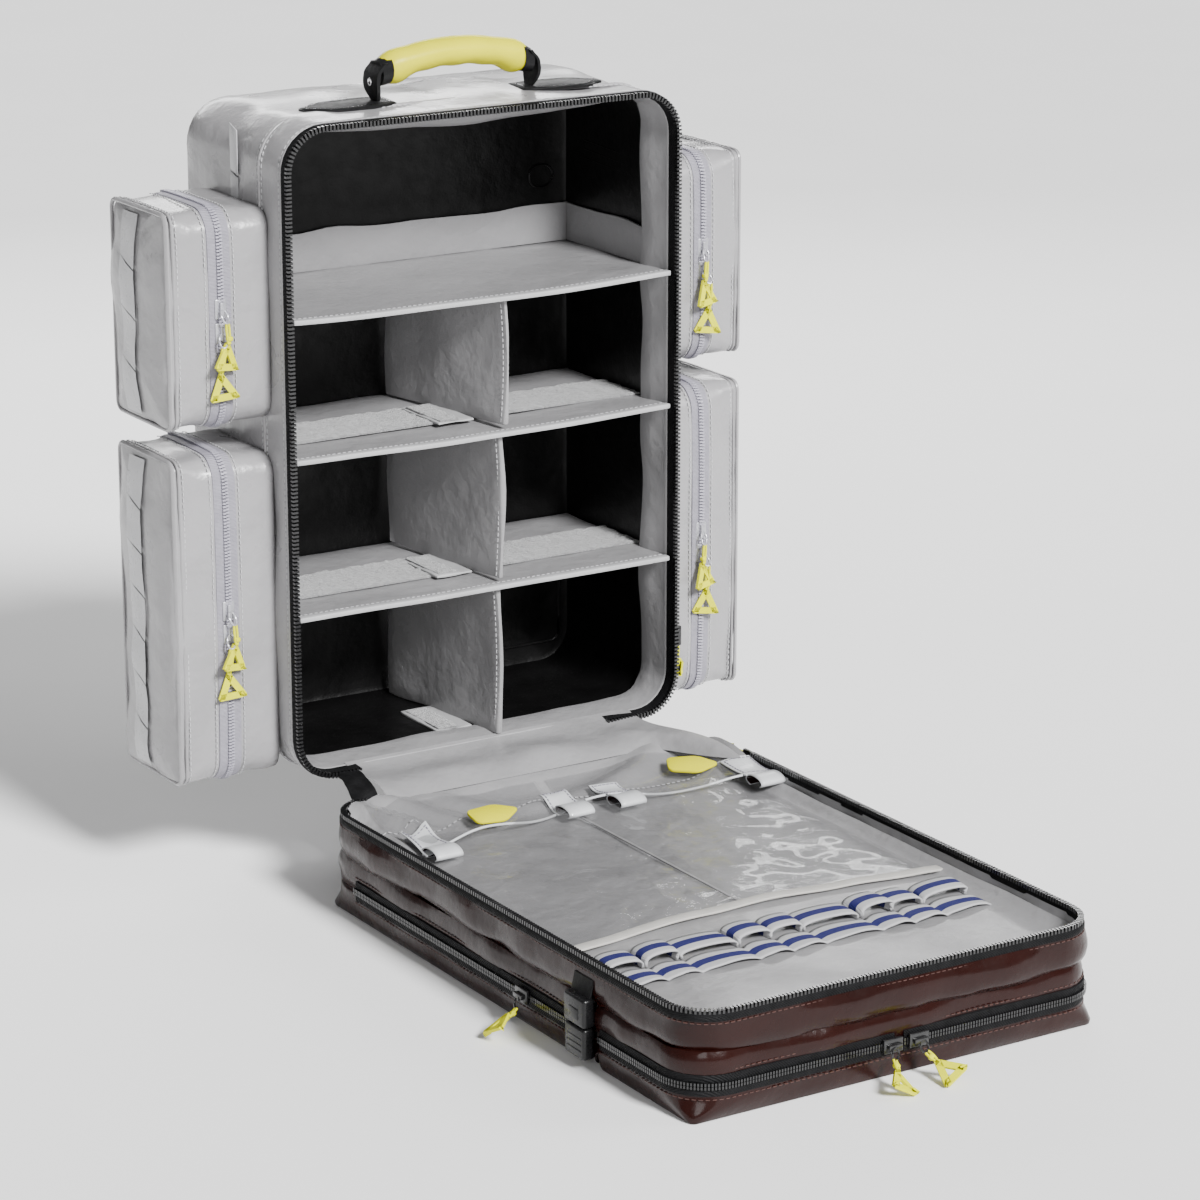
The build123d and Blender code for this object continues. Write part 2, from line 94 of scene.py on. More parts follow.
def finish(name, colour, shade=0.12, patch=25, rough=(0.3, 0.45), grain=(), stripe=None, **sockets):
    """A finish whose colour and gloss vary in soft patches; each grain is a texture, scale and depth."""
    material = bpy.data.materials.new(name)
    material.use_nodes = True
    tree = material.node_tree
    shader = tree.nodes["Principled BSDF"]
    for socket, value in sockets.items():
        shader.inputs[socket.replace("_", " ")].default_value = value
    place = tree.nodes.new("ShaderNodeTexCoord").outputs["Object"]

    def texture(kind, scale):
        node = tree.nodes.new("ShaderNodeTex" + kind.split("-")[0])
        tree.links.new(place, node.inputs["Vector"])
        node.inputs["Scale"].default_value = scale
        if kind.startswith("Noise"):
            node.inputs["Detail"].default_value = 4
            return node.outputs["Fac"]
        if kind.startswith("Wave"):
            node.bands_direction = kind.split("-")[1]
            return node.outputs["Fac"]
        return node.outputs["Distance"]

    def ranged(value, low, high):
        node = tree.nodes.new("ShaderNodeMapRange")
        tree.links.new(value, node.inputs["Value"])
        node.inputs["From Min"].default_value = 0.3
        node.inputs["From Max"].default_value = 0.7
        node.inputs["To Min"].default_value = low
        node.inputs["To Max"].default_value = high
        return node.outputs["Result"]

    patches = texture("Noise", patch)
    ramp = tree.nodes.new("ShaderNodeValToRGB")
    tree.links.new(patches, ramp.inputs["Fac"])
    ramp.color_ramp.elements[0].position, ramp.color_ramp.elements[1].position = 0.3, 0.7
    for element, factor in zip(ramp.color_ramp.elements, (1 - shade, 1 + shade)):
        element.color = (*(min(1, c * factor) for c in colour), 1)
    colour_out = ramp.outputs["Color"]
    if stripe:
        stripe_colour, middles, half = stripe
        split = tree.nodes.new("ShaderNodeSeparateXYZ")
        tree.links.new(place, split.inputs[0])
        for middle in middles:
            near = tree.nodes.new("ShaderNodeMath")
            near.operation = "COMPARE"
            near.inputs[1].default_value, near.inputs[2].default_value = middle, half
            tree.links.new(split.outputs["Y"], near.inputs[0])
            mix = tree.nodes.new("ShaderNodeMix")
            mix.data_type = "RGBA"
            mix.inputs[7].default_value = (*stripe_colour, 1)
            tree.links.new(near.outputs[0], mix.inputs[0])
            tree.links.new(colour_out, mix.inputs[6])
            colour_out = mix.outputs[2]
    tree.links.new(colour_out, shader.inputs["Base Color"])
    tree.links.new(ranged(texture("Noise", patch * 2.3), *rough), shader.inputs["Roughness"])
    surface = None
    for kind, scale, depth in grain:
        bump = tree.nodes.new("ShaderNodeBump")
        bump.inputs["Distance"].default_value = depth
        tree.links.new(texture(kind, scale), bump.inputs["Height"])
        if surface:
            tree.links.new(surface, bump.inputs["Normal"])
        surface = bump.outputs["Normal"]
    if surface:
        tree.links.new(surface, shader.inputs["Normal"])
    return material


SILVER = finish("silver_tarpaulin", (0.27, 0.265, 0.272), 0.05, 9, (0.24, 0.4),
                [("Noise", 14, 0.006), ("Noise", 60, 0.0012), ("Noise", 900, 0.00012)], Coat_Weight=0.35,
                Coat_Roughness=0.16)
BROWN = finish("brown_tarpaulin", (0.0125, 0.0026, 0.0018), 0.22, 16, (0.2, 0.34),
               [("Noise", 16, 0.004), ("Noise", 900, 0.0001)], Coat_Weight=0.25,
               Coat_Roughness=0.12, Specular_IOR_Level=0.12)
LINING = finish("grey_lining", (0.235, 0.232, 0.237), 0.06, 12, (0.32, 0.46),
                [("Noise", 18, 0.004), ("Noise", 90, 0.0008), ("Noise", 1100, 0.00012)], Coat_Weight=0.2,
                Coat_Roughness=0.2)
BINDING = finish("shelf_binding", (0.36, 0.36, 0.365), 0.06, 40, (0.45, 0.6), [("Noise", 700, 0.0002)])
LINER = finish("liner_board", (0.0035, 0.0034, 0.0035), 0.25, 30, (0.3, 0.42),
               [("Noise", 25, 0.002), ("Noise", 500, 0.00015)], Specular_IOR_Level=0.18)
PILE = finish("pile_strip", (0.20, 0.20, 0.203), 0.25, 260, (0.85, 0.95),
              [("Noise", 300, 0.002), ("Noise", 1200, 0.001)], Sheen_Weight=0.6)
BLACK_ZIP = finish("black_zip", (0.006, 0.006, 0.0065), 0.3, 120, (0.5, 0.7),
                   [("Wave-DIAGONAL", 260, 0.0004), ("Noise", 900, 0.0003)], Specular_IOR_Level=0.1)
BLACK_COIL = finish("black_coil", (0.008, 0.008, 0.0085), 0.2, 200, (0.18, 0.28), [("Noise", 900, 0.0001)],
                    Coat_Weight=0.3)
GREY_ZIP = finish("grey_zip", (0.25, 0.24, 0.28), 0.08, 120, (0.5, 0.65),
                  [("Wave-Z", 280, 0.0003), ("Noise", 900, 0.0002)])
GREY_COIL = finish("grey_coil", (0.32, 0.31, 0.36), 0.1, 200, (0.3, 0.45), [("Noise", 900, 0.0001)])
THREAD = finish("pale_thread", (0.42, 0.42, 0.43), 0.1, 300, (0.5, 0.6), [("Noise", 1500, 0.0001)])
RED_THREAD = finish("reddish_thread", (0.045, 0.015, 0.011), 0.2, 300, (0.5, 0.6), [("Noise", 1500, 0.0001)])
REFLECTIVE = finish("reflective_strip", (0.42, 0.42, 0.43), 0.04, 60, (0.25, 0.35),
                    [("Voronoi", 700, 0.0001)], Coat_Weight=0.3)
SLIDER_GREY = finish("slider_grey", (0.42, 0.42, 0.45), 0.1, 80, (0.3, 0.4), [("Noise", 400, 0.0001)],
                     Metallic=0.5)
BLACK_METAL = finish("slider_black", (0.006, 0.006, 0.0065), 0.2, 80, (0.25, 0.35), [("Noise", 400, 0.0001)],
                     Coat_Weight=0.4)
NEON = finish("neon_plastic", (0.60, 0.565, 0.0), 0.04, 40, (0.3, 0.42), [("Noise", 200, 0.0002)],
              Specular_IOR_Level=0.15)
PALE_NEON = finish("neon_pull", (0.62, 0.62, 0.0), 0.04, 60, (0.35, 0.5), [("Noise", 300, 0.0002)],
                   Specular_IOR_Level=0.15)
WEBBING = finish("black_webbing", (0.006, 0.006, 0.0065), 0.25, 100, (0.45, 0.6),
                 [("Wave-Z", 420, 0.0003), ("Noise", 900, 0.0002)], Specular_IOR_Level=0.2)
PLASTIC = finish("black_plastic", (0.006, 0.006, 0.0065), 0.15, 60, (0.22, 0.34), [("Noise", 500, 0.0001)],
                 Specular_IOR_Level=0.3)
RIVET = finish("rivet_metal", (0.75, 0.75, 0.76), 0.05, 80, (0.15, 0.25), [("Noise", 300, 0.0001)],
               Metallic=1.0)
PADDING = finish("black_padding", (0.010, 0.010, 0.0105), 0.2, 60, (0.6, 0.75),
                 [("Voronoi", 220, 0.0012), ("Noise", 800, 0.0003)], Specular_IOR_Level=0.25)
FILM = finish("clear_film", (0.20, 0.20, 0.205), 0.05, 20, (0.07, 0.16),
              [("Noise", 13, 0.012), ("Noise", 40, 0.003)], Alpha=0.3, Coat_Weight=1.0,
              Coat_Roughness=0.04)
SHEEN_TAB = finish("silver_tab", (0.50, 0.51, 0.52), 0.06, 60, (0.3, 0.42), [("Noise", 500, 0.0002)],
                   Coat_Weight=0.2)
CREAM = finish("binding_tape", (0.5, 0.485, 0.455), 0.06, 60, (0.6, 0.75),
               [("Wave-X", 300, 0.0003), ("Noise", 900, 0.0002)])


# ---------------------------------------------------------------- making pieces

def new_piece(name, bm, material, body, replaces=(), crease=40, blend=None):
    """Turn a built mesh into a piece of one finish that moves with a body, or, when a blend is given, stays
    where it was built with its transform baked in.
    """
    bmesh.ops.remove_doubles(bm, verts=bm.verts[:], dist=0.00002)
    bmesh.ops.recalc_face_normals(bm, faces=bm.faces[:])
    mesh = bpy.data.meshes.new(name)
    bm.to_mesh(mesh)
    bm.free()
    mesh.materials.append(material)
    mesh.shade_smooth()
    mesh.set_sharp_from_angle(angle=radians(crease))
    piece = bpy.data.objects.new(name, mesh)
    bpy.context.scene.collection.objects.link(piece)
    if blend:
        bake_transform(piece)
    else:
        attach(piece, body)
    if replaces:
        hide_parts(*replaces)
    return piece


def thicken(piece, thickness):
    """Give an open wall its thickness, inwards."""
    solid = piece.modifiers.new("wall", "SOLIDIFY")
    solid.thickness = thickness
    solid.offset = -1


def soften(piece):
    """Round a coarse mesh by one level of subdivision."""
    smooth = piece.modifiers.new("smooth", "SUBSURF")
    smooth.levels = smooth.render_levels = 1


def outline(width, height, radii, cells):
    """Points (u, v) in order round a rounded rectangle, from its right side's foot; cells are for its
    width, height and corners, and radii is one radius or four, from the upper right corner round."""
    across, up, turn = cells
    radii = radii if isinstance(radii, tuple) else (radii,) * 4
    points = []
    for side in range(4):
        out = Vector((cos(side * pi / 2), sin(side * pi / 2)))
        along = Vector((-out.y, out.x))
        upright = side % 2 == 0
        reach = (width if upright else height) / 2
        half = (height if upright else width) / 2
        start, end, radius = radii[side - 1] - half, half - radii[side], radii[side]
        count = up if upright else across
        for i in range(count):
            points.append(out * reach + along * (start + (end - start) * i / count))
        for i in range(turn):
            angle = side * pi / 2 + pi / 2 * i / turn
            points.append(out * (reach - radius) + along * end + radius * Vector((cos(angle), sin(angle))))
    return points


def wall(bm, rows, closed=True):
    """Draw the first row of points and extrude it through the others."""
    verts = [bm.verts.new(p) for p in rows[0]]
    ends = verts[1:] + (verts[:1] if closed else [])
    edges = [bm.edges.new(pair) for pair in zip(verts, ends)]
    for row in rows[1:]:
        made = bmesh.ops.extrude_edge_only(bm, edges=edges)["geom"]
        fresh = {g for g in made if isinstance(g, bmesh.types.BMVert)}
        edges = [g for g in made if isinstance(g, bmesh.types.BMEdge) and set(g.verts) <= fresh]
        verts = [next(e.other_vert(v) for e in v.link_edges if e.other_vert(v) in fresh) for v in verts]
        for vert, place in zip(verts, row):
            vert.co = place
    return edges


def fill(bm, edges):
    """Close a ring of edges with one face."""
    bmesh.ops.edgeloop_fill(bm, edges=edges)


def on_pack(p, depth):
    """A point of an upright outline, so far behind the closing plane."""
    return Vector((p.x, CLOSE_Y + depth, PACK_MID_Z + p.y))


def on_lid(p, z):
    """A point of an outline that lies in the lid."""
    return Vector((p.x, LID_MID_Y + p.y, z))


PACK_CELLS = (26, 40, 8)


def pack_ring(inset, depth, cells=PACK_CELLS):
    points = outline(PACK_W - 2 * inset, PACK_H - 2 * inset, max(CORNER_R - inset, 0.004), cells)
    return [on_pack(p, depth) for p in points]


def lid_ring(inset, z, cells=PACK_CELLS):
    points = outline(PACK_W - 2 * inset, LID_L - 2 * inset, max(CORNER_R - inset, 0.004), cells)
    return [on_lid(p, z) for p in points]


def shape(bm, change):
    """Move every point of a mesh as a function says."""
    for vert in bm.verts:
        vert.co = change(vert.co.copy())


def crumple(bm, height, size, seed=0.0, fade=None):
    """Push points along their normals in soft waves of about one size."""
    bm.normal_update()
    shift = Vector((seed, seed * 0.7, seed * 1.3))
    moves = []
    for vert in bm.verts:
        push = noise.noise(vert.co / size + shift) * height * (fade(vert.co) if fade else 1)
        moves.append((vert, vert.normal * push))
    for vert, move in moves:
        vert.co += move


def smooth_step(value, low, high):
    """Go from 0 to 1 as a value goes from low to high, gently at both ends; high may be the smaller."""
    t = min(1, max(0, (value - low) / (high - low)))
    return t * t * (3 - 2 * t)


def board(low, high, pitch=0.01, edge=0.001):
    """A flat piece between two corners, cut into cells, with its edges rounded."""
    bm = bmesh.new()
    size = high - low
    bmesh.ops.create_cube(bm, size=1, matrix=Matrix.LocRotScale((low + high) / 2, None, size))
    for axis in range(3):
        count = int(size[axis] / pitch)
        normal = Vector([float(a == axis) for a in range(3)])
        for i in range(1, count):
            place = low + normal * size[axis] * i / count
            geometry = [*bm.verts, *bm.edges, *bm.faces]
            bmesh.ops.bisect_plane(bm, geom=geometry, plane_co=place, plane_no=normal)
    sharp = [e for e in bm.edges if e.calc_face_angle(0) > 0.5]
    bmesh.ops.bevel(bm, geom=sharp, offset=edge, segments=2, profile=0.5, affect="EDGES", material=-1)
    return bm


def spaced(points, pitch, facing, closed=True):
    """Frames evenly along a line of points: local x runs along it and local z faces a direction."""
    ends = points[1:] + (points[:1] if closed else [])
    frames, left = [], 0.0
    for start, end in zip(points, ends):
        length = (end - start).length
        if length < 1e-7:
            continue
        ahead = (end - start) / length
        side = facing.cross(ahead).normalized()
        while left < length:
            turn = Matrix((ahead, side, ahead.cross(side))).transposed().to_4x4()
            frames.append(Matrix.Translation(start + ahead * left) @ turn)
            left += pitch
        left -= length
    return frames


def join(bm, part):
    """Move all of one mesh being built into another."""
    mesh = bpy.data.meshes.new("part")
    part.to_mesh(mesh)
    part.free()
    bm.from_mesh(mesh)
    bpy.data.meshes.remove(mesh)


def dashes(bm, frames, size, batch=40):
    """A small block at each frame: zip teeth or stitches, made a batch at a time for speed."""
    block = Matrix.Diagonal((*size, 1))
    for first in range(0, len(frames), batch):
        part = bmesh.new()
        for place in frames[first:first + batch]:
            bmesh.ops.create_cube(part, size=1, matrix=place @ block)
        join(bm, part)


def cord_tube(bm, points, radius, sides=8, closed=False):
    """A round tube along a line of points."""
    rows = []
    count = len(points)
    for i, point in enumerate(points):
        before = points[i - 1] if closed or i else point
        after = points[(i + 1) % count] if closed or i + 1 < count else point
        ahead = (after - before).normalized()
        side = ahead.cross(Z if abs(ahead.z) < 0.9 else X).normalized()
        up = side.cross(ahead)
        turns = [2 * pi * k / sides for k in range(sides)]
        rows.append([point + (side * cos(a) + up * sin(a)) * radius for a in turns])
    wall(bm, rows + (rows[:1] if closed else []))
    if not closed:
        bmesh.ops.holes_fill(bm, edges=bm.edges[:], sides=sides)


def arc_points(start, middle, end, count=10):
    """Points of a smooth curve that starts and ends at two points and is pulled towards a third."""
    steps = [i / count for i in range(count + 1)]
    return [start * (1 - t) ** 2 + middle * 2 * t * (1 - t) + end * t * t for t in steps]


# ---------------------------------------------------------------- floor, lights and camera

def studio():
    """A pale floor, soft daylight, one wide sun and three soft lamps."""
    world = bpy.data.worlds.new("studio")
    world.use_nodes = True
    world.node_tree.nodes["Background"].inputs["Color"].default_value = (1, 1, 1, 1)
    world.node_tree.nodes["Background"].inputs["Strength"].default_value = 0.24
    bpy.context.scene.world = world
    bm = bmesh.new()
    bmesh.ops.create_grid(bm, x_segments=2, y_segments=2, size=12, matrix=Matrix.Translation((0, 0, FLOOR_Z)))
    mesh = bpy.data.meshes.new("floor")
    bm.to_mesh(mesh)
    bm.free()
    mesh.materials.append(finish("pale_floor", (0.93, 0.93, 0.93), 0.01, 2, (0.7, 0.8)))
    floor = bpy.data.objects.new("floor", mesh)
    bpy.context.scene.collection.objects.link(floor)
    middle = Vector((0, CLOSE_Y, 0.3))
    for name, kind, place, size, power in (
        ("key_light", "SUN", (0.25, -2.3, 1.7), radians(14), 8.4),
        ("left_softbox", "AREA", (-2.0, -2.6, 0.9), 1.0, 20),
        ("right_softbox", "AREA", (2.4, -1.6, 1.8), 1.2, 26),
        ("back_strip", "AREA", (0.9, 2.2, 1.05), 2.6, 30),
    ):
        light = bpy.data.lights.new(name, kind)
        light.energy = power
        if kind == "SUN":
            light.angle = size
        else:
            light.shape = "RECTANGLE"
            light.size = size
            light.size_y = size * (0.12 if name == "back_strip" else 1.0)
        lamp = bpy.data.objects.new(name, light)
        lamp.location = middle + Vector(place)
        lamp.rotation_euler = (middle - lamp.location).to_track_quat("-Z", "Y").to_euler()
        bpy.context.scene.collection.objects.link(lamp)


def camera():
    """The view from the front left, a little above."""
    target = Vector((0.197, CLOSE_Y + 0.1405, 0.1603))
    azimuth, elevation, distance = radians(-32.1052), radians(16.3594), 3.8376
    away = Vector((sin(azimuth) * cos(elevation), -cos(azimuth) * cos(elevation), sin(elevation)))
    view = bpy.data.objects.new("camera", bpy.data.cameras.new("camera"))
    view.location = target + away * distance
    view.rotation_euler = (-away).to_track_quat("-Z", "Y").to_euler()
    view.data.lens, view.data.sensor_width = 125.6, 36
    bpy.context.scene.collection.objects.link(view)
    bpy.context.scene.camera = view


studio()
camera()


# ---------------------------------------------------------------- pack body

def top_swell(co):
    """The top of the pack stands up a little in the middle."""
    depth = co.y - CLOSE_Y - LIP
    run = min(1, max(0, depth / (BACK - LIP)))
    rise = 0.004 * (1 - (co.x / HALF_W) ** 2) * sin(pi * run) * smooth_step(co.z, TOP_Z - 0.03, TOP_Z)
    return co + Z * rise


def pack_shell():
    bm = bmesh.new()
    depths = [ZIP_SHOWS + (BACK - 0.006 - ZIP_SHOWS) * i / 14 for i in range(15)]
    rows = [pack_ring(0, d) for d in depths]
    rows += [pack_ring(0.0015, BACK - 0.002), pack_ring(0.006, BACK)]
    rows += [pack_ring(i, BACK) for i in (0.03, 0.06, 0.09, 0.12, 0.15, 0.18)]
    fill(bm, wall(bm, rows))
    shape(bm, top_swell)

    def fade(co):
        low = smooth_step(co.z, BASE_Z, BASE_Z + 0.02)
        inside = 1 if co.y < SHELL[1].y - 0.004 else 0
        return low * smooth_step(co.y - CLOSE_Y, LIP + 0.002, LIP + 0.03) * inside

    crumple(bm, 0.004, 0.09, 3.1, fade)
    crumple(bm, 0.0016, 0.03, 7.7, fade)
    thicken(new_piece("pack_shell_fabric", bm, SILVER, "pack_body",
                      ["pack_shell"]), 0.001)
    bm = bmesh.new()
    for depth, radius in ((0.047, 0.0014), (ZIP_SHOWS + 0.0026, 0.001)):
        turns = [2 * pi * k / 8 for k in range(9)]
        wall(bm, [pack_ring(-radius * cos(a), depth + radius * sin(a)) for a in turns])
    shape(bm, top_swell)
    new_piece("pack_piping", bm, SILVER, "pack_body")
    bm = bmesh.new()
    for depth in (ZIP_SHOWS + 0.006, 0.043, 0.051):
        dashes(bm, spaced(pack_ring(-0.0003, depth), 0.0052, -Y), (0.0032, 0.0007, 0.0007))
    shape(bm, top_swell)
    new_piece("pack_stitching", bm, THREAD, "pack_body")
    bm = bmesh.new()
    for side in (-1, 1):
        for z in (0.502, 0.542, 0.582, 0.622):
            middle = Vector((side * (HALF_W + 0.0002), CLOSE_Y + 0.0915, z + 0.0005))
            strip = board(middle - Vector((0.0004, 0.0065, 0.0190)), middle + Vector((0.0004, 0.0065, 0.019)),
                          0.01, 0.0002)
            for vert in strip.verts:
                vert.co.z += (vert.co.y - middle.y) * 0.35
            join(bm, strip)
    new_piece("pack_reflective_strips", bm, REFLECTIVE, "pack_body")


def open_line(ring, hidden):
    """Numbers of a ring's points, in order, that are not hidden under the lining."""
    shown = [not hidden(p) for p in ring]
    first = next(i for i in range(len(ring)) if shown[i] and not shown[i - 1])
    order = [(first + i) % len(ring) for i in range(len(ring))]
    return [i for i in order if shown[i]]


def zip_edge(name, ring, body, node, facing, inner, hidden):
    """Black tape from a fabric edge over the zip's teeth and down inside; ring gives an outline for an
    inset and a reach."""
    shown = open_line(ring(0, 0), hidden)

    def line(inset, reach):
        points = ring(inset, reach)
        return [points[i] for i in shown]

    bm = bmesh.new()
    section = ((-0.0004, ZIP_SHOWS + 0.002), (-0.0009, ZIP_SHOWS), (-0.0004, ZIP_SHOWS * 0.7),
               (0.0004, 0.0032), (0.0009, 0.0022), (0.0040, 0.0022), (0.0046, 0.0045), (0.0052, inner))
    wall(bm, [line(inset, reach) for inset, reach in section], False)
    new_piece(name + "_tape", bm, BLACK_ZIP, body, [node])
    bm = bmesh.new()
    dashes(bm, spaced(line(0.0024, 0.0015), 0.0034, facing, False), (0.0018, 0.0048, 0.0034))
    bead = ((0.0010, 0.0026), (0.001, 0.0034), (0.0038, 0.0034), (0.0038, 0.0026), (0.0010, 0.0026))
    wall(bm, [line(inset, reach) for inset, reach in bead], False)
    new_piece(name + "_teeth", bm, BLACK_COIL, body)


def pack_lining():
    bm = bmesh.new()
    section = ((0.0050, LIP - 0.0005), (0.0056, LIP + 0.003), (0.0062, LIP + 0.008),
               (0.0078, LIP + 0.018), (0.0082, FACING_BACK - 0.004),
               (0.0078, FACING_BACK + 0.001), (0.0048, FACING_BACK + 0.002))
    wall(bm, [pack_ring(inset, reach, (40, 60, 8)) for inset, reach in section])

    def droop(co):
        back = smooth_step(co.y - CLOSE_Y, LIP + 0.004, FACING_BACK)
        across = max(0, cos(co.x / HALF_W * pi / 2))
        fall = 0.011 * across * smooth_step(co.z, TOP_Z - 0.02, TOP_Z - 0.012) * back
        side = 0.006 * smooth_step(abs(co.x), HALF_W - 0.02, HALF_W - 0.012) * back
        wave = 0.6 + 0.5 * noise.noise(Vector((co.x, 0, co.z)) / 0.09)
        return co - Z * fall - X * side * wave * (1 if co.x > 0 else -1)

    shape(bm, droop)
    crumple(bm, 0.002, 0.045, 5.0, lambda co: smooth_step(co.y - CLOSE_Y, LIP + 0.002, LIP + 0.012))
    thicken(new_piece("rim_facing_fabric", bm, LINING, "pack_body", ["rim_facing"]), 0.0015)

    bm = bmesh.new()
    rows = [pack_ring(0.0062, d) for d in (FACING_BACK - 0.003, 0.08, 0.11, 0.14, BACK - 0.014)]
    rows += [pack_ring(0.0085, BACK - 0.0065), pack_ring(0.0125, BACK - 0.0048)]
    rows += [pack_ring(i, BACK - 0.0047) for i in (0.04, 0.08, 0.12, 0.16)]
    fill(bm, wall(bm, rows))
    crumple(bm, 0.0012, 0.12, 9.0, lambda co: smooth_step(co.y - CLOSE_Y, 0.05, 0.07))
    back_y = CLOSE_Y + BACK - 0.0052
    for x, z, width, height in ((0.158, TOP_Z - 0.100, 0.024, 0.02), (0.115, BASE_Z + 0.075, 0.12, 0.1)):
        ring = [Vector((x + p.x, back_y, z + p.y)) for p in outline(width, height, 0.0098, (6, 6, 6))]
        cord_tube(bm, ring, 0.0011, 6, True)
    for i in range(3):
        z = TOP_Z - 0.07 - 0.008 * i
        for x in (-1, 1):
            wall_x = x * (HALF_W - 0.0052)
            ends = [Vector((wall_x, CLOSE_Y + 0.07, z)), Vector((wall_x, CLOSE_Y + 0.15, z + 0.004))]
            cord_tube(bm, ends, 0.001, 6)
    new_piece("inner_liner_board", bm, LINER, "pack_body", ["inner_liner"])


def bowed(low, high, sag, seed, lift=0.0):
    """How a shelf hangs: its front edge bows down between its sides and waves a little."""
    def change(co):
        across = (co.x - low.x) / (high.x - low.x)
        front = 1 - (co.y - low.y) / (high.y - low.y)
        wave = noise.noise(Vector((co.x * 9 + seed, co.y * 7, seed)))
        co.z += (-sag * sin(pi * across) + 0.002 * wave) * front * front + lift * front
        co.y += 0.002 * sin(pi * across) * front
        return co
    return change


def shelves():
    for level, sag, seed in (("upper", 0.004, 1.3), ("middle", 0.003, 4.2), ("lower", 0.002, 8.6)):
        low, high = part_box(level + "_shelf")
        hang = bowed(low, high, sag, seed)
        bm = board(low, high, 0.012, 0.0011)
        crumple(bm, 0.0014, 0.05, seed, lambda co: smooth_step(co.y, low.y, low.y + 0.03))
        shape(bm, hang)
        new_piece(level + "_shelf_board", bm, LINING, "pack_body", [level + "_shelf"])
        bm = board(Vector((low.x, low.y - 0.0014, low.z - 0.0006)),
                   Vector((high.x, low.y + 0.006, high.z + 0.0007)), 0.012, 0.001)
        shape(bm, hang)
        new_piece(level + "_shelf_binding", bm, BINDING, "pack_body")
        bm = bmesh.new()
        line = [Vector((low.x + (high.x - low.x) * i / 30, low.y + 0.0085, high.z)) for i in range(31)]
        dashes(bm, spaced(line, 0.005, Z, False), (0.003, 0.0007, 0.0007))
        shape(bm, hang)
        new_piece(level + "_shelf_stitching", bm, THREAD, "pack_body")

    low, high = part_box("upper_shelf_flanges")
    bm = board(Vector((low.x, high.y - 0.0025, low.z)), high, 0.012, 0.001)
    side = board(Vector((high.x - 0.003, low.y - 0.02, low.z)),
                 Vector((high.x, high.y - 0.003, high.z)), 0.012, 0.001)
    for part in (bm, side):
        shape(part, lambda co: co + Z * 0.003 * noise.noise(co / 0.06) * smooth_step(co.z, low.z, high.z))
        crumple(part, 0.004, 0.05, 2.5, lambda co: smooth_step(co.z, low.z, high.z))
    new_piece("upper_shelf_back_flange", bm, LINING, "pack_body", ["upper_shelf_flanges"])
    new_piece("upper_shelf_side_flange", side, LINING, "pack_body")

    low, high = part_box("loop_strips")
    for level in ("middle", "lower"):
        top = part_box(level + "_shelf")[1].z
        bm = board(Vector((low.x, low.y, top)), Vector((high.x, high.y + 0.016, top + 0.0022)), 0.004, 0.0006)
        crumple(bm, 0.0018, 0.006, 3.3, lambda co: smooth_step(co.z, top, top + 0.001))
        replaced = ["loop_strips"] if level == "middle" else []
        new_piece(level + "_pile_strip", bm, PILE, "pack_body", replaced)


DIVIDER_X = {"upper": (0.023, -0.007), "middle": (0.017, -0.007), "lower": (0.014, -0.008)}


def dividers():
    for level, (front_x, back_x) in DIVIDER_X.items():
        low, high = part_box(level + "_divider")
        bm = board(Vector((-0.0022, low.y, low.z + 0.0005)),
                   Vector((0.0022, high.y, high.z - 0.0005)), 0.012, 0.0014)

        def lean(co):
            run = (co.y - low.y) / (high.y - low.y)
            up = (co.z - low.z) / (high.z - low.z)
            co.x += front_x + (back_x - front_x) * run + 0.003 * sin(pi * up) * (1 - run)
            return co

        shape(bm, lean)
        crumple(bm, 0.0022, 0.05, front_x * 100)
        new_piece(level + "_divider_board", bm, LINING, "pack_body", [level + "_divider"])
        bm = bmesh.new()
        inset = 0.004
        for side in (-1, 1):
            corner = [Vector((side * 0.0025, low.y + inset, low.z + inset)),
                      Vector((side * 0.0025, low.y + inset, high.z - inset)),
                      Vector((side * 0.0025, high.y - inset, high.z - inset))]
            for start, end in zip(corner, corner[1:]):
                line = [start.lerp(end, i / 12) for i in range(13)]
                dashes(bm, spaced(line, 0.005, X * side, False), (0.003, 0.0006, 0.0006))
        shape(bm, lean)
        new_piece(level + "_divider_stitching", bm, THREAD, "pack_body")
        tab_x = (front_x + back_x) / 2
        bm = board(Vector((tab_x - 0.034, low.y + 0.031, low.z)),
                   Vector((tab_x + 0.001, low.y + 0.096, low.z + 0.0018)), 0.008, 0.0006)
        crumple(bm, 0.0015, 0.02, 1.0, lambda co: smooth_step(co.x, tab_x, tab_x - 0.01))
        new_piece(level + "_divider_foot", bm, BINDING, "pack_body")
        bm = board(Vector((tab_x - 0.031, low.y + 0.034, low.z + 0.0015)),
                   Vector((tab_x - 0.011, low.y + 0.093, low.z + 0.003)), 0.005, 0.0005)
        crumple(bm, 0.0012, 0.005, 6.0)
        new_piece(level + "_divider_pile", bm, PILE, "pack_body")


pack_shell()
zip_edge("pack_zip", pack_ring, "pack_body", "main_zip_pack_side", -Y, LIP,
         lambda p: p.z < BASE_Z + 0.004 and -0.128 < p.x < 0.113)
pack_lining()
shelves()
dividers()


# ---------------------------------------------------------------- carrying handle

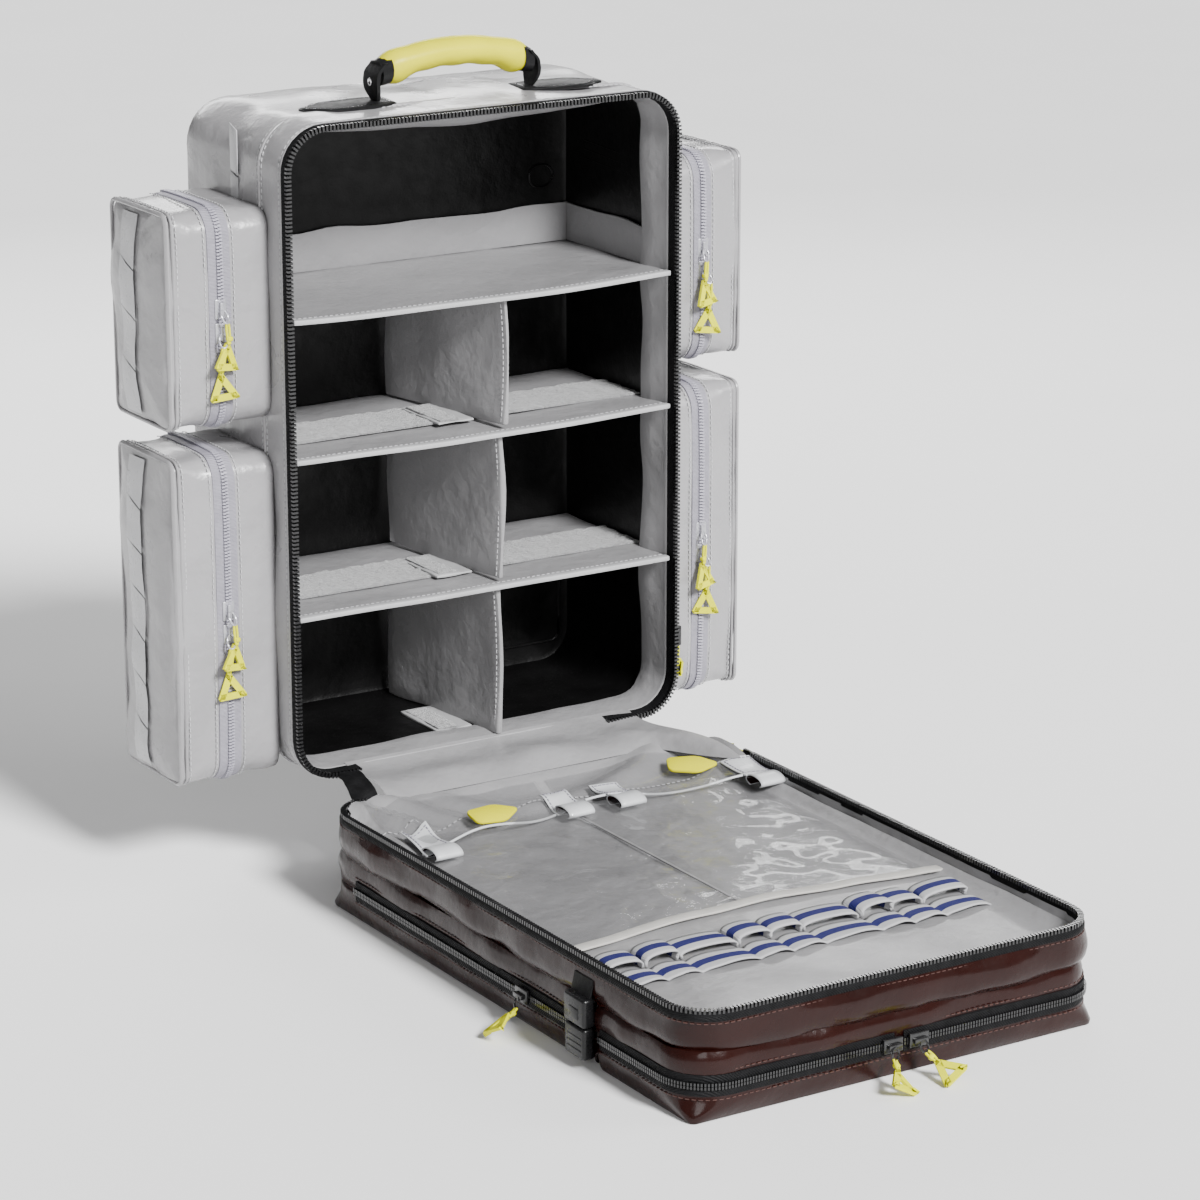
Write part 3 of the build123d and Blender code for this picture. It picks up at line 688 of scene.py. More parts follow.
def handle():
    low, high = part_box("handle_grip")
    middle_y = (low.y + high.y) / 2
    bm = bmesh.new()
    rows = []
    count = 36
    for i in range(count + 1):
        t = i / count * 2 - 1
        edge = sqrt(max(0.0, 1 - abs(t) ** 14))
        x = t * (high.x - 0.001)
        arch = 1 - t * t
        thick = (0.0125 + 0.0030 * smooth_step(abs(t), 0.5, 0.86) - 0.001 * (1 - arch)) * max(edge, 0.3)
        wide = (0.0145 + 0.0015 * arch) * max(edge, 0.3)
        centre = low.z + 0.0095 + (high.z - low.z - 0.0215) * (1 - (1 - arch) ** 1.15)
        lean = atan2(-2 * t * (high.z - low.z - 0.0215), high.x)
        row = []
        for k in range(20):
            a = 2 * pi * k / 20
            fingers = 1 + 0.05 * cos(t * pi * 5) * max(0, -sin(a))
            side, up = cos(a) * wide, sin(a) * thick * fingers
            row.append(Vector((x - up * sin(lean), middle_y + side, centre + up * cos(lean))))
        rows.append(row)
    last = wall(bm, rows)
    fill(bm, last)
    fill(bm, [e for e in bm.edges if e.is_boundary])
    soften(new_piece("grip", bm, NEON, "handle", ["handle_grip"], 60))

    pivot_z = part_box("handle_webbing")[0].z
    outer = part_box("handle_webbing")[1].x
    bm = bmesh.new()
    for side in (-1, 1):
        rows = []
        for i in range(13):
            t = i / 12
            half = 0.0125 * smooth_step(t, -0.25, 0.4)
            x = side * (outer - 0.0015 + 0.004 * sin(pi * t) - 0.004 * smooth_step(t, 0.75, 1))
            z = pivot_z + (low.z + 0.02 - pivot_z) * t
            section = ((-0.003, -half), (0, -half * 0.96), (0.0006, 0), (0, half * 0.96), (-0.003, half),
                       (-0.0032, 0))
            rows.append([Vector((x + side * out, middle_y + off, z)) for out, off in section])
        fill(bm, wall(bm, rows))
    bmesh.ops.holes_fill(bm, edges=bm.edges[:], sides=8)
    new_piece("handle_web_ends", bm, WEBBING, "handle", ["handle_webbing"])
    bm = bmesh.new()
    for side in (-1, 1):
        sleeve = []
        for i in range(7):
            t = i / 6
            x = side * (high.x - 0.009 + 0.0095 * t)
            z = low.z + 0.0105 + 0.0035 * (1 - t)
            wide, thick = 0.0140 - 0.001 * t, 0.0128 - 0.002 * t
            sleeve.append([Vector((x, middle_y + wide * cos(a), z + thick * sin(a)))
                           for a in [2 * pi * k / 16 for k in range(16)]])
        fill(bm, wall(bm, sleeve))
    new_piece("handle_sleeves", bm, WEBBING, "handle")

    rivet_low, rivet_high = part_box("handle_rivets")
    bm = bmesh.new()
    for side in (-1, 1):
        place = Vector((side * (rivet_high.x - 0.0015), middle_y, (rivet_low.z + rivet_high.z) / 2))
        turn = Matrix.Rotation(pi / 2, 4, "Y")
        bmesh.ops.create_cone(bm, cap_ends=True, segments=24, radius1=0.004, radius2=0.004, depth=0.003,
                              matrix=Matrix.Translation(place) @ turn)
    rims = [e for e in bm.edges if e.calc_face_angle(0) > 0.8]
    bmesh.ops.bevel(bm, geom=rims, offset=0.001, segments=3, profile=0.5, affect="EDGES", material=-1)
    new_piece("handle_rivet_heads", bm, RIVET, "handle", ["handle_rivets"])

    low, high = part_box("handle_patches")
    bm = bmesh.new()
    thread = bmesh.new()
    inner, outer_x = 0.062, high.x

    def leaf(side, inset):
        points = []
        for edge in (-1, 1):
            for i in range(11):
                t = i / 10 if edge < 0 else 1 - i / 10
                x = inner + inset + (outer_x - inner - 2 * inset) * t
                pointed = 1 - smooth_step(t, 0.72, 1.0) * 0.75
                half = (0.019 - inset) * pointed * (0.7 + 0.3 * smooth_step(t, 0, 0.3))
                points.append(top_swell(Vector((side * x, middle_y + edge * half, TOP_Z))))
        return points

    for side in (-1, 1):
        flat = leaf(side, 0)
        rows = [[p + Z * 0.0004 for p in flat], [p + Z * 0.0022 for p in flat]]
        rows.append([p + Z * 0.003 for p in leaf(side, 0.0016)])
        fill(bm, wall(bm, rows))
        seam = [p + Z * 0.003 for p in leaf(side, 0.0045)]
        dashes(thread, spaced(seam, 0.0042, Z), (0.0026, 0.0006, 0.0006))
    new_piece("handle_leaf_patches", bm, WEBBING, "pack_body", ["handle_patches"])
    new_piece("handle_patch_stitching", thread, BLACK_COIL, "pack_body")


handle()


# ---------------------------------------------------------------- sliders and pulls

def rounded_block(bm, size, place, edge, segments=2):
    """A small block in its own frame, with rounded edges."""
    made = bmesh.ops.create_cube(bm, size=1, matrix=place @ Matrix.Diagonal((*size, 1)))
    edges = {e for v in made["verts"] for e in v.link_edges}
    bmesh.ops.bevel(bm, geom=list(edges), offset=edge, segments=segments, profile=0.5, affect="EDGES",
                    material=-1)


def pull_tab(bm, place, length=0.026, width=0.027, thick=0.0024):
    """A three-cornered pull with a hole, hanging from the top of its frame along local -y."""
    flat = bmesh.new()
    made = bmesh.ops.create_circle(flat, cap_ends=True, segments=3, radius=1)
    top = max(made["verts"], key=lambda v: v.co.y)
    for vert in made["verts"]:
        if vert is top:
            vert.co = Vector((0, 0, 0))
        else:
            vert.co = Vector((width / 2 * (1 if vert.co.x > 0 else -1), -length, 0))
    corners = flat.verts[:]
    bmesh.ops.bevel(flat, geom=corners, offset=0.0035, segments=4, profile=0.5, affect="VERTICES",
                    material=-1)
    face = next(iter(flat.faces))
    bmesh.ops.inset_region(flat, faces=[face], thickness=0.0056, use_boundary=True, use_even_offset=True)
    bmesh.ops.delete(flat, geom=[face], context="FACES_ONLY")
    bmesh.ops.solidify(flat, geom=flat.faces[:], thickness=thick)
    bmesh.ops.translate(flat, verts=flat.verts[:], vec=(0, 0, -thick / 2))
    bmesh.ops.transform(flat, matrix=place, verts=flat.verts[:])
    join(bm, flat)


def aimed(origin, across, down):
    """A frame at a point whose local x is across and whose local -y points down a direction."""
    y = -down.normalized()
    x = (across - y * across.dot(y)).normalized()
    return Matrix.Translation(origin) @ Matrix((x, y, x.cross(y))).transposed().to_4x4()


def slider(name, body, metal, surface, outward, along, size, ring_end, pull_start, hang, across):
    """A zip slider on a surface, its ring, its cord and its three-cornered pull; replaces one CAD slider."""
    width, height, length = size
    side = outward.cross(along)
    turn = Matrix((side, along, outward)).transposed().to_4x4()
    place = Matrix.Translation(surface + outward * height / 2) @ turn
    bm = bmesh.new()
    plate, bridge = Matrix.Translation((0, 0, -height * 0.2)), Matrix.Translation((0, 0, height * 0.25))
    rounded_block(bm, (width, length, height * 0.45), place @ plate, 0.0012)
    rounded_block(bm, (width * 0.35, length * 0.7, height * 0.5), place @ bridge, 0.0009)
    top = surface + outward * height * 0.9
    loop = []
    for k in range(14):
        a = 2 * pi * k / 14
        middle = (top + ring_end) / 2
        half = (ring_end - top) / 2
        loop.append(middle + half * cos(a) + across.normalized() * 0.0034 * sin(a))
    cord_tube(bm, loop, 0.0009, 8, True)
    new_piece(name + "_metal", bm, metal, body, [name])
    bm = bmesh.new()
    sag = (ring_end + pull_start) / 2 + hang.normalized() * 0.002
    strand = across.normalized() * 0.0013
    for move in (strand, -strand):
        end = pull_start + move * 0.6 + hang.normalized() * 0.004
        cord_tube(bm, arc_points(ring_end + move, sag + move * 1.6, end, 6), 0.0011, 8)
    knot = aimed(pull_start - hang.normalized() * 0.0005, across, hang)
    rounded_block(bm, (0.0052, 0.004, 0.0044), knot, 0.0012)
    pull_tab(bm, aimed(pull_start, across, hang))
    new_piece(name + "_pull", bm, PALE_NEON, body)


# ---------------------------------------------------------------- side pockets

SIDE_OUT = 0.09
SIDE_SPLIT = 0.045
SIDE_CELLS = (10, 18, 5)
STRIP_CLEARANCE = 0.0019


class SidePocket:
    """A box pocket on a side wall: outlines lie in planes parallel to the wall, measured out from it."""

    def __init__(self, side, level):
        self.sign = -1 if side == "left" else 1
        self.key = side + "_" + level + "_pocket"
        low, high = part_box(self.key + "_base")
        self.low_z, self.high_z = low.z, high.z
        self.mid_y, self.mid_z = (low.y + high.y) / 2, (low.z + high.z) / 2
        self.width, self.height = high.y - low.y, high.z - low.z

    def ring(self, out, grow=0.0, cells=SIDE_CELLS):
        width = self.width - 0.020 * out / SIDE_OUT + 2 * grow
        height = self.height + 2 * grow
        sharp = smooth_step(out, SIDE_SPLIT + 0.01, SIDE_OUT)
        radius = max(0.003, 0.017 - 0.010 * sharp + grow)
        return [self.place(p, out, width, height) for p in outline(width, height, radius, cells)]

    def place(self, p, out, width, height):
        """A point of an outline, pushed out where the fabric bulges."""
        u, v = 2 * p.x / width, 2 * p.y / height
        full = sin(pi * min(1, max(0, out / SIDE_OUT))) ** 0.5
        bulge_y = 0.0035 * (1 - v ** 4) * smooth_step(abs(u), 0.7, 1) * full
        bulge_z = 0.003 * (1 - u ** 4) * smooth_step(abs(v), 0.8, 1) * full
        y = self.mid_y + p.x + bulge_y * (1 if u > 0 else -1)
        z = self.mid_z + p.y + bulge_z * (1 if v > 0 else -1)
        return Vector((self.sign * (HALF_W + out), y, z))

    def crown(self, inset):
        """How far the outer face stands out at a distance in from its edge."""
        return 0.0045 * (1 - (1 - min(1, max(0, inset) / 0.046)) ** 2)

    def on_outer_face(self, y, z, above):
        """A point on the crumpled outer face, a little above it."""
        inset = min(self.width / 2 - 0.010 - abs(y - self.mid_y), self.height / 2 - abs(z - self.mid_z))
        co = Vector((self.sign * (HALF_W + SIDE_OUT - 0.0005 + self.crown(inset)), y, z))
        seed = self.mid_z * 7 + self.sign * 2
        for height, size, start in ((0.0034, 0.06, seed), (0.0014, 0.022, seed + 3)):
            shift = Vector((start, start * 0.7, start * 1.3))
            co.x += self.sign * noise.noise(co / size + shift) * height
        return co + X * self.sign * above

    def crumpled(self, bm):
        seed = self.mid_z * 7 + self.sign * 2

        def fade(co):
            out = abs(co.x) - HALF_W
            at_split = 1 - smooth_step(abs(out - SIDE_SPLIT), 0.008, 0.02)
            return smooth_step(out, 0.0, 0.012) * (1 - 0.85 * at_split)

        crumple(bm, 0.0034, 0.06, seed, fade)
        crumple(bm, 0.0014, 0.022, seed + 3, fade)

    def front_line(self, out, grow):
        """The outline without its rear side, from the rear of the top round the front to the rear below."""
        ring = self.ring(out, grow, (16, 26, 7))
        limit = self.mid_y + self.width / 2 - 0.016
        middle = max(range(len(ring)), key=lambda i: ring[i].y)
        ordered = ring[middle:] + ring[:middle]
        return [p for p in ordered if p.y < limit]

    def make(self):
        lid = self.key + "_lid"
        bm = bmesh.new()
        wall(bm, [self.ring(d) for d in (0.0003, 0.006, 0.014, 0.022, 0.030, 0.038, 0.0448)])
        self.crumpled(bm)
        thicken(new_piece(self.key + "_base_fabric", bm, SILVER, "pack_body",
                          [self.key + "_base"]), 0.002)
        bm = bmesh.new()
        rows = [self.ring(d) for d in (0.0452, 0.052, 0.060, 0.068, 0.076, 0.083, 0.0875)]
        rows.append([p + X * self.sign * 0.0003 for p in self.ring(0.0893, -0.0012)])
        for inset in (0.008, 0.02, 0.034, 0.046):
            rows.append([p + X * self.sign * self.crown(inset) for p in self.ring(SIDE_OUT - 0.0005, -inset)])
        fill(bm, wall(bm, rows))
        self.crumpled(bm)
        thicken(new_piece(self.key + "_cover_fabric", bm, SILVER, lid,
                          [self.key + "_cover"]), 0.002)
        bm = bmesh.new()
        turns = [2 * pi * k / 8 for k in range(9)]
        for out, radius in ((0.0885, 0.0019), (0.0838, 0.0012)):
            wall(bm, [self.ring(out + radius * cos(a), 0.0006 + radius * sin(a)) for a in turns])
        new_piece(self.key + "_piping", bm, SILVER, lid)
        thread = bmesh.new()
        dashes(thread, spaced(self.ring(0.0805, 0.0006), 0.005, X * self.sign), (0.003, 0.0007, 0.0008))
        dashes(thread, spaced(self.front_line(0.0575, 0.0008), 0.005, X * self.sign, False),
               (0.003, 0.0007, 0.0008))
        new_piece(self.key + "_cover_stitching", thread, THREAD, lid)
        thread = bmesh.new()
        dashes(thread, spaced(self.front_line(0.0325, 0.0008), 0.005, X * self.sign, False),
               (0.003, 0.0007, 0.0008))
        new_piece(self.key + "_base_stitching", thread, THREAD, "pack_body")
        self.zip_half("base", "pack_body", -1)
        self.zip_half("cover", lid, 1)
        self.strip(lid)
        for place, fold in (("top", 1), ("bottom", -1)):
            self.slider(place, fold)

    def zip_half(self, part, body, sign):
        """Half of the zip: tape beside the split and a row of coil at the split."""
        bm = bmesh.new()
        section = ((0.0100, -0.0010), (0.0096, 0.0008), (0.0060, 0.0013), (0.0020, 0.0011),
                   (0.0002, 0.0008), (0.0002, -0.0012))
        wall(bm, [self.front_line(SIDE_SPLIT + sign * d, grow) for d, grow in section], False)
        once = self.key == "left_upper_pocket" and part == "base"
        new_piece(self.key + "_" + part + "_zip_tape", bm, GREY_ZIP, body,
                  ["side_pocket_zips"] if once else [])
        bm = bmesh.new()
        line = self.front_line(SIDE_SPLIT + sign * 0.0013, 0.0018)
        dashes(bm, spaced(line, 0.0028, X * self.sign, False), (0.0016, 0.0021, 0.0028))
        new_piece(self.key + "_" + part + "_coil", bm, GREY_COIL, body)

    def strip(self, lid):
        """Short reflective strips a little above the outer face, parted by slanted gaps."""
        bm = bmesh.new()
        count = round(self.height / 0.042)
        step = (self.height - 0.008) / count
        wide = self.width - 0.020
        for i in range(count):
            low = self.low_z + 0.004 + step * i
            rows = []
            for j in range(9):
                v = j / 8
                row = []
                for k in range(5):
                    u = k / 4
                    slant = 0.010 * (u - 0.5) * (1 if 0 < i + round(v) < count else 0)
                    z = low + 0.0007 + (step - 0.0014) * v - slant
                    row.append(self.on_outer_face(self.mid_y + wide * (0.25 - 0.27 * u), z, STRIP_CLEARANCE))
                rows.append(row)
            wall(bm, rows, False)
        new_piece(self.key + "_reflective_strips", bm, REFLECTIVE, lid)

    def slider(self, place, fold):
        name = self.key + "_" + place + "_slider"
        low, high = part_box(name)
        front = self.mid_y - self.width / 2 + 0.001
        x = self.sign * (HALF_W + SIDE_SPLIT)
        body_z = high.z - 0.009
        surface = Vector((x, front + 0.0015, body_z))
        drop = low.z + 0.032
        shift = self.sign * (0.004 if place == "bottom" else -0.003)
        start = Vector((x + shift, low.y + 0.002, drop))
        ring_end = Vector((x + shift * 0.5, front - 0.0095, body_z - 0.011))
        hang = Vector((self.sign * 0.12 * fold, -0.1, -1))
        slider(name, self.key + "_" + place + "_zip_slider", SLIDER_GREY, surface, -Y, Z,
               (0.011, 0.006, 0.017), ring_end, start, hang, X + Y * 0.3 * fold)


for pocket_side in ("left", "right"):
    for pocket_level in ("upper", "lower"):
        SidePocket(pocket_side, pocket_level).make()


# ---------------------------------------------------------------- lid

POCKETS = {place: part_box(place + "_pocket_base") for place in ("hinge", "far")}
GROOVE = (POCKETS["far"][1].y, POCKETS["hinge"][0].y)
ZIP_BAND = 0.009
CREASE_Z = 0.054


def pocket_ring(place, inset, z, cells=(24, 26, 8)):
    """A lid pocket's outline at one height: round at the lid's corners above, boxy near the floor."""
    low, high = POCKETS[place]
    squared = smooth_step(z, 0.0, SPLIT_Z - 0.008)
    lid_corner = 0.010 + (CORNER_R - 0.010) * squared
    groove_corner = 0.012
    corners = (lid_corner, lid_corner, groove_corner, groove_corner)
    if place == "far":
        corners = corners[::-1]
    radii = tuple(max(0.002, r - inset) for r in corners)
    points = outline(PACK_W - 2 * inset, high.y - low.y - 2 * inset, radii, cells)
    return [Vector((p.x, (low.y + high.y) / 2 + p.y, z)) for p in points]


def three_sides(place, inset, z):
    """A lid pocket's outline without the side that it folds on."""
    ring = pocket_ring(place, inset, z, (36, 40, 10))
    sign = 1 if place == "hinge" else -1
    middle = max(range(len(ring)), key=lambda i: sign * ring[i].y - abs(ring[i].x) * 0.01)
    ordered = ring[middle:] + ring[:middle]
    limit = POCKETS[place][1].y - 0.05 if place == "hinge" else GROOVE[0] - 0.016
    return [p for p in ordered if p.y < limit]


def lid_shell():
    def soft(co):
        return smooth_step(co.z, 0.001, 0.01) * (1 - smooth_step(co.z, 0.074, 0.080)) \
            * smooth_step(abs(co.z - SPLIT_Z), 0.004, 0.014)

    bm = bmesh.new()
    rows = [lid_ring(0.0002, RIM_Z - ZIP_SHOWS), lid_ring(0.0, 0.079), lid_ring(-0.0006, 0.0745),
            lid_ring(-0.0016, 0.068), lid_ring(-0.0018, 0.063),
            lid_ring(-0.0006, 0.0575), lid_ring(0.0014, CREASE_Z), lid_ring(0.004, 0.053)]
    wall(bm, rows)
    crumple(bm, 0.005, 0.07, 4.4, soft)
    crumple(bm, 0.0018, 0.025, 2.4, soft)
    thicken(new_piece("lid_wall_fabric", bm, BROWN, "lid", ["lid_tray"]), 0.0015)
    for place in POCKETS:
        lid_body = place + "_pocket_lid"
        bm = bmesh.new()
        rows = [pocket_ring(place, i, z) for i, z in (
            (0.004, 0.0552), (0.0014, CREASE_Z), (0.0002, 0.051), (-0.001, 0.046), (-0.001, 0.041),
            (-0.0003, 0.036), (0.0, SPLIT_Z + 0.0004))]
        wall(bm, rows)
        if place == "far":
            edge = POCKETS["far"][1].y
            join(bm, board(Vector((-HALF_W + 0.008, edge - 0.0025, 0.0036)),
                           Vector((HALF_W - 0.008, edge - 0.0005, SPLIT_Z)), 0.02, 0.0005))
        crumple(bm, 0.004, 0.06, 6.1, soft)
        crumple(bm, 0.0014, 0.022, 1.4, soft)
        thicken(new_piece(place + "_pocket_base_fabric", bm, BROWN, "lid",
                          [place + "_pocket_base"]), 0.0015)
        bm = bmesh.new()
        rows = [pocket_ring(place, i, z) for i, z in (
            (0.0, SPLIT_Z - 0.0004), (-0.0004, 0.022), (0.0002, 0.016), (0.0012, 0.010), (0.0028, 0.004),
            (0.0045, 0.0008), (0.0062, 0.0003))]
        if place == "far":
            for row in rows:
                for p in row:
                    if p.y > GROOVE[0] - 0.02:
                        p.z = min(p.z, 0.003 + (GROOVE[0] - p.y) * 1.3)
        last = wall(bm, rows + [pocket_ring(place, i, 0.0003) for i in (0.03, 0.06, 0.06)])
        fill(bm, last)
        crumple(bm, 0.0035, 0.06, 8.2, soft)
        crumple(bm, 0.0012, 0.022, 3.4, soft)
        thicken(new_piece(place + "_pocket_cover_fabric", bm, BROWN, lid_body,
                          [place + "_pocket_cover"]), 0.0015)
        for part, body, sign in (("base", "lid", 1), ("cover", lid_body, -1)):
            bm = bmesh.new()
            section = ((-0.001, ZIP_BAND), (0.0016, ZIP_BAND - 0.0006), (0.0019, ZIP_BAND * 0.5),
                       (0.0014, 0.0016), (0.0006, 0.0002), (-0.0015, 0.0002))
            wall(bm, [three_sides(place, -grow, SPLIT_Z + sign * rise) for grow, rise in section], False)
            new_piece(place + "_pocket_" + part + "_zip_tape", bm, BLACK_ZIP, body)
            bm = bmesh.new()
            line = three_sides(place, -0.0026, SPLIT_Z + sign * 0.0014)
            dashes(bm, spaced(line, 0.0026, Z, False), (0.0015, 0.002, 0.0024))
            new_piece(place + "_pocket_" + part + "_coil", bm, BLACK_COIL, body)
            bm = bmesh.new()
            line = three_sides(place, -0.0008, SPLIT_Z + sign * (ZIP_BAND + 0.0022))
            dashes(bm, spaced(line, 0.0052, Z, False), (0.0032, 0.0008, 0.0007))
            new_piece(place + "_pocket_" + part + "_stitching", bm, RED_THREAD, body)
    bm = bmesh.new()
    dashes(bm, spaced(lid_ring(-0.0005, 0.0775), 0.0052, Z), (0.0032, 0.0008, 0.0007))
    new_piece("lid_wall_stitching", bm, RED_THREAD, "lid")


def lid_floor_height(x, y):
    """How high the lid's lining lies: almost flat, with folds near the hinge and a raised right corner."""
    back = HINGE_EDGE_Y - y
    height = 0.0012 + 0.0016 * noise.noise(Vector((x, y, 3.0)) / 0.07)
    rise = smooth_step(back, 0.055, 0.0)
    corner = smooth_step(back, 0.115, 0.05) * smooth_step(x, 0.13, 0.18)
    height += (RIM_Z - 0.006 - PANEL_TOP) * max(rise * rise, corner)
    for x0, y0, angle, length, width, tall in (
        (-0.150, 0.045, 62, 0.055, 0.010, 0.013), (-0.115, 0.035, 48, 0.060, 0.012, 0.009),
        (-0.060, 0.040, 30, 0.070, 0.012, 0.006), (0.035, 0.050, -14, 0.100, 0.012, 0.006),
        (0.100, 0.030, -30, 0.070, 0.014, 0.005), (-0.165, 0.075, 85, 0.045, 0.009, 0.007),
    ):
        a = radians(angle)
        dx, dy = x - x0, (HINGE_EDGE_Y - y0) - y
        along, off = dx * cos(a) + dy * sin(a), -dx * sin(a) + dy * cos(a)
        height += 1.3 * tall * max(0, 1 - (along / length) ** 2) * 2.718 ** (-(off / width) ** 2)
    return height


def rounded_corner(co, half_w, half_l, radius, mid_y):
    """Pull the square corners of a grid back to round ones."""
    dx, dy = abs(co.x) - (half_w - radius), abs(co.y - mid_y) - (half_l - radius)
    if dx > 0 and dy > 0:
        share = max(dx, dy) / sqrt(dx * dx + dy * dy)
        co.x -= dx * (1 - share) * (1 if co.x > 0 else -1)
        co.y -= dy * (1 - share) * (1 if co.y > mid_y else -1)
    return co


def flat_grid(low, high, pitch):
    """A grid of square cells between two corners of a level rectangle."""
    bm = bmesh.new()
    size = high - low
    cells = [max(1, round(size[i] / pitch)) for i in range(2)]
    place = Matrix.Translation((low + high) / 2) @ Matrix.Diagonal((size.x, size.y, 1, 1))
    bmesh.ops.create_grid(bm, x_segments=cells[0], y_segments=cells[1], size=0.5, matrix=place)
    return bm


def lid_lining():
    half_w, half_l = HALF_W - 0.0075, LID_L / 2 - 0.0075
    low = Vector((-half_w, LID_MID_Y - half_l, PANEL_TOP))
    high = Vector((half_w, LID_MID_Y + half_l + 0.004, PANEL_TOP))
    bm = flat_grid(low, high, 0.006)

    def settle(co):
        co = rounded_corner(co, half_w, half_l, CORNER_R - 0.006, LID_MID_Y)
        edge = min(half_w - abs(co.x), co.y - (LID_MID_Y - half_l))
        co.z = PANEL_TOP + lid_floor_height(co.x, co.y) + 0.008 * (1 - smooth_step(edge, 0.0, 0.014))
        return co

    shape(bm, settle)
    new_piece("lid_panel_lining", bm, LINING, "lid", ["lid_inner_panel"])
    bm = bmesh.new()
    section = ((0.0050, RIM_Z - ZIP_SHOWS + 0.001), (0.0062, RIM_Z - 0.011), (0.0072, PANEL_TOP + 0.006),
               (0.0105, PANEL_TOP + 0.002), (0.016, PANEL_TOP - 0.001))
    wall(bm, [lid_ring(inset, z, (40, 60, 8)) for inset, z in section])
    crumple(bm, 0.002, 0.04, 3.0)
    new_piece("lid_wall_lining", bm, LINING, "lid")
    line = [p for p in lid_ring(0.0125, PANEL_TOP) if p.y < HINGE_EDGE_Y - 0.06]
    middle = min(range(len(line)), key=lambda i: (line[i].x < 0, -line[i].y))
    ordered = line[middle:] + line[:middle]
    bm = bmesh.new()
    dashes(bm, spaced(ordered, 0.0052, Z, False), (0.003, 0.0007, 0.0007))
    shape(bm, lambda co: co + Z * (lid_floor_height(co.x, co.y) + 0.0016))
    new_piece("lid_lining_stitching", bm, THREAD, "lid")


def gusset():
    """The lining runs on from the pack's foot to the lid, drawn in its open shape."""
    start = Vector((0, CLOSE_Y + LIP + 0.004, BASE_Z + 0.0065))
    end = Vector((0, HINGE_EDGE_Y - 0.008, RIM_Z - 0.005))
    bm = flat_grid(Vector((-1, 0, 0)), Vector((1, 1, 0)), 1 / 30)

    def settle(co):
        t, u = 1 - co.y, co.x
        left, right = 0.139 - 0.004 * t, 0.147 + 0.030 * smooth_step(t, 0.1, 1.0)
        y = start.y + (end.y - start.y) * t
        if u > 0:
            y -= 0.070 * t * smooth_step(u, 0.72, 1.0)
        z = start.z + (end.z - start.z) * t + 0.0025 * sin(pi * t) - 0.003 * sin(2 * pi * t)
        x = u * (right if u > 0 else left)
        z += 0.005 * noise.noise(Vector((x / 0.06, t * 1.4, 4.0))) * sin(pi * t)
        return Vector((x, y, z + 0.0035 * smooth_step(abs(u), 0.8, 1) * t))

    shape(bm, settle)
    hinge = ("pack_body", "lid", (0, CLOSE_Y + 0.002, BASE_Z), (0, HINGE_EDGE_Y, RIM_Z))
    piece = new_piece("hinge_gusset_fabric", bm, LINING, None, ["hinge_gusset"], blend=hinge)
    tab_x = -0.147
    low = Vector((tab_x - 0.013, HINGE_EDGE_Y - 0.004, RIM_Z - 0.003))
    high = Vector((tab_x + 0.012, CLOSE_Y + 0.004, RIM_Z - 0.0005))
    bm = board(low, high, 0.004, 0.0007)

    def arch(co):
        t = (high.y - co.y) / (high.y - low.y)
        co.z += 0.008 * (1 - t) + 0.004 * sin(pi * t) + 0.002 * noise.noise(co / 0.012)
        co.x = tab_x + (co.x - tab_x) * (0.8 + 0.2 * t) - 0.010 * t + 0.004
        return co

    shape(bm, arch)
    new_piece("zip_end_tab", bm, BLACK_ZIP, None, blend=hinge)


def pouch_bow(x):
    """The pouches' foot bows towards the hinge in the middle."""
    return 0.022 * max(0.0, cos(x / HALF_W * pi / 2))


def clear_pouches():
    low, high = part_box("clear_pouches")
    for side, sign in (("left", -1), ("right", 1)):
        inner, outer = 0.0008, high.x
        x0, x1 = sorted((sign * inner, sign * outer))
        bm = flat_grid(Vector((x0, low.y, high.z)), Vector((x1, high.y, high.z)), 0.005)

        def settle(co):
            edge = min(abs(outer - abs(co.x)), co.y - low.y, 0.012 + abs(co.x) - inner)
            mouth = smooth_step(co.y, high.y - 0.05, high.y)
            lift = smooth_step(edge, 0.0, 0.03)
            wave = noise.noise(co / 0.05 + X * sign) + 0.5 * noise.noise(co / 0.02)
            co.z = PANEL_TOP + 0.0035 + lift * (0.0022 + 0.0035 * wave + 0.004 * mouth)
            co.y += pouch_bow(co.x) * (1 - smooth_step(co.y, low.y, low.y + 0.12))
            return co

        shape(bm, settle)
        piece = new_piece(side + "_pouch_film", bm, FILM, "lid",
                          ["clear_pouches"] if side == "left" else [])

    bm = board(Vector((-HALF_W + 0.012, low.y - 0.0075, PANEL_TOP + 0.003)),
               Vector((HALF_W - 0.012, low.y + 0.0035, PANEL_TOP + 0.0052)), 0.006, 0.0008)
    shape(bm, lambda co: co + Z * (0.0015 * noise.noise(Vector((co.x, 0, 0)) / 0.05) + 0.0006)
          + Y * pouch_bow(co.x))
    new_piece("pouch_binding", bm, CREAM, "lid")
    bm = board(Vector((-0.001, low.y + pouch_bow(0), PANEL_TOP + 0.003)),
               Vector((0.001, high.y, PANEL_TOP + 0.0046)), 0.006, 0.0003)
    new_piece("pouch_middle_seam", bm, LINING, "lid")


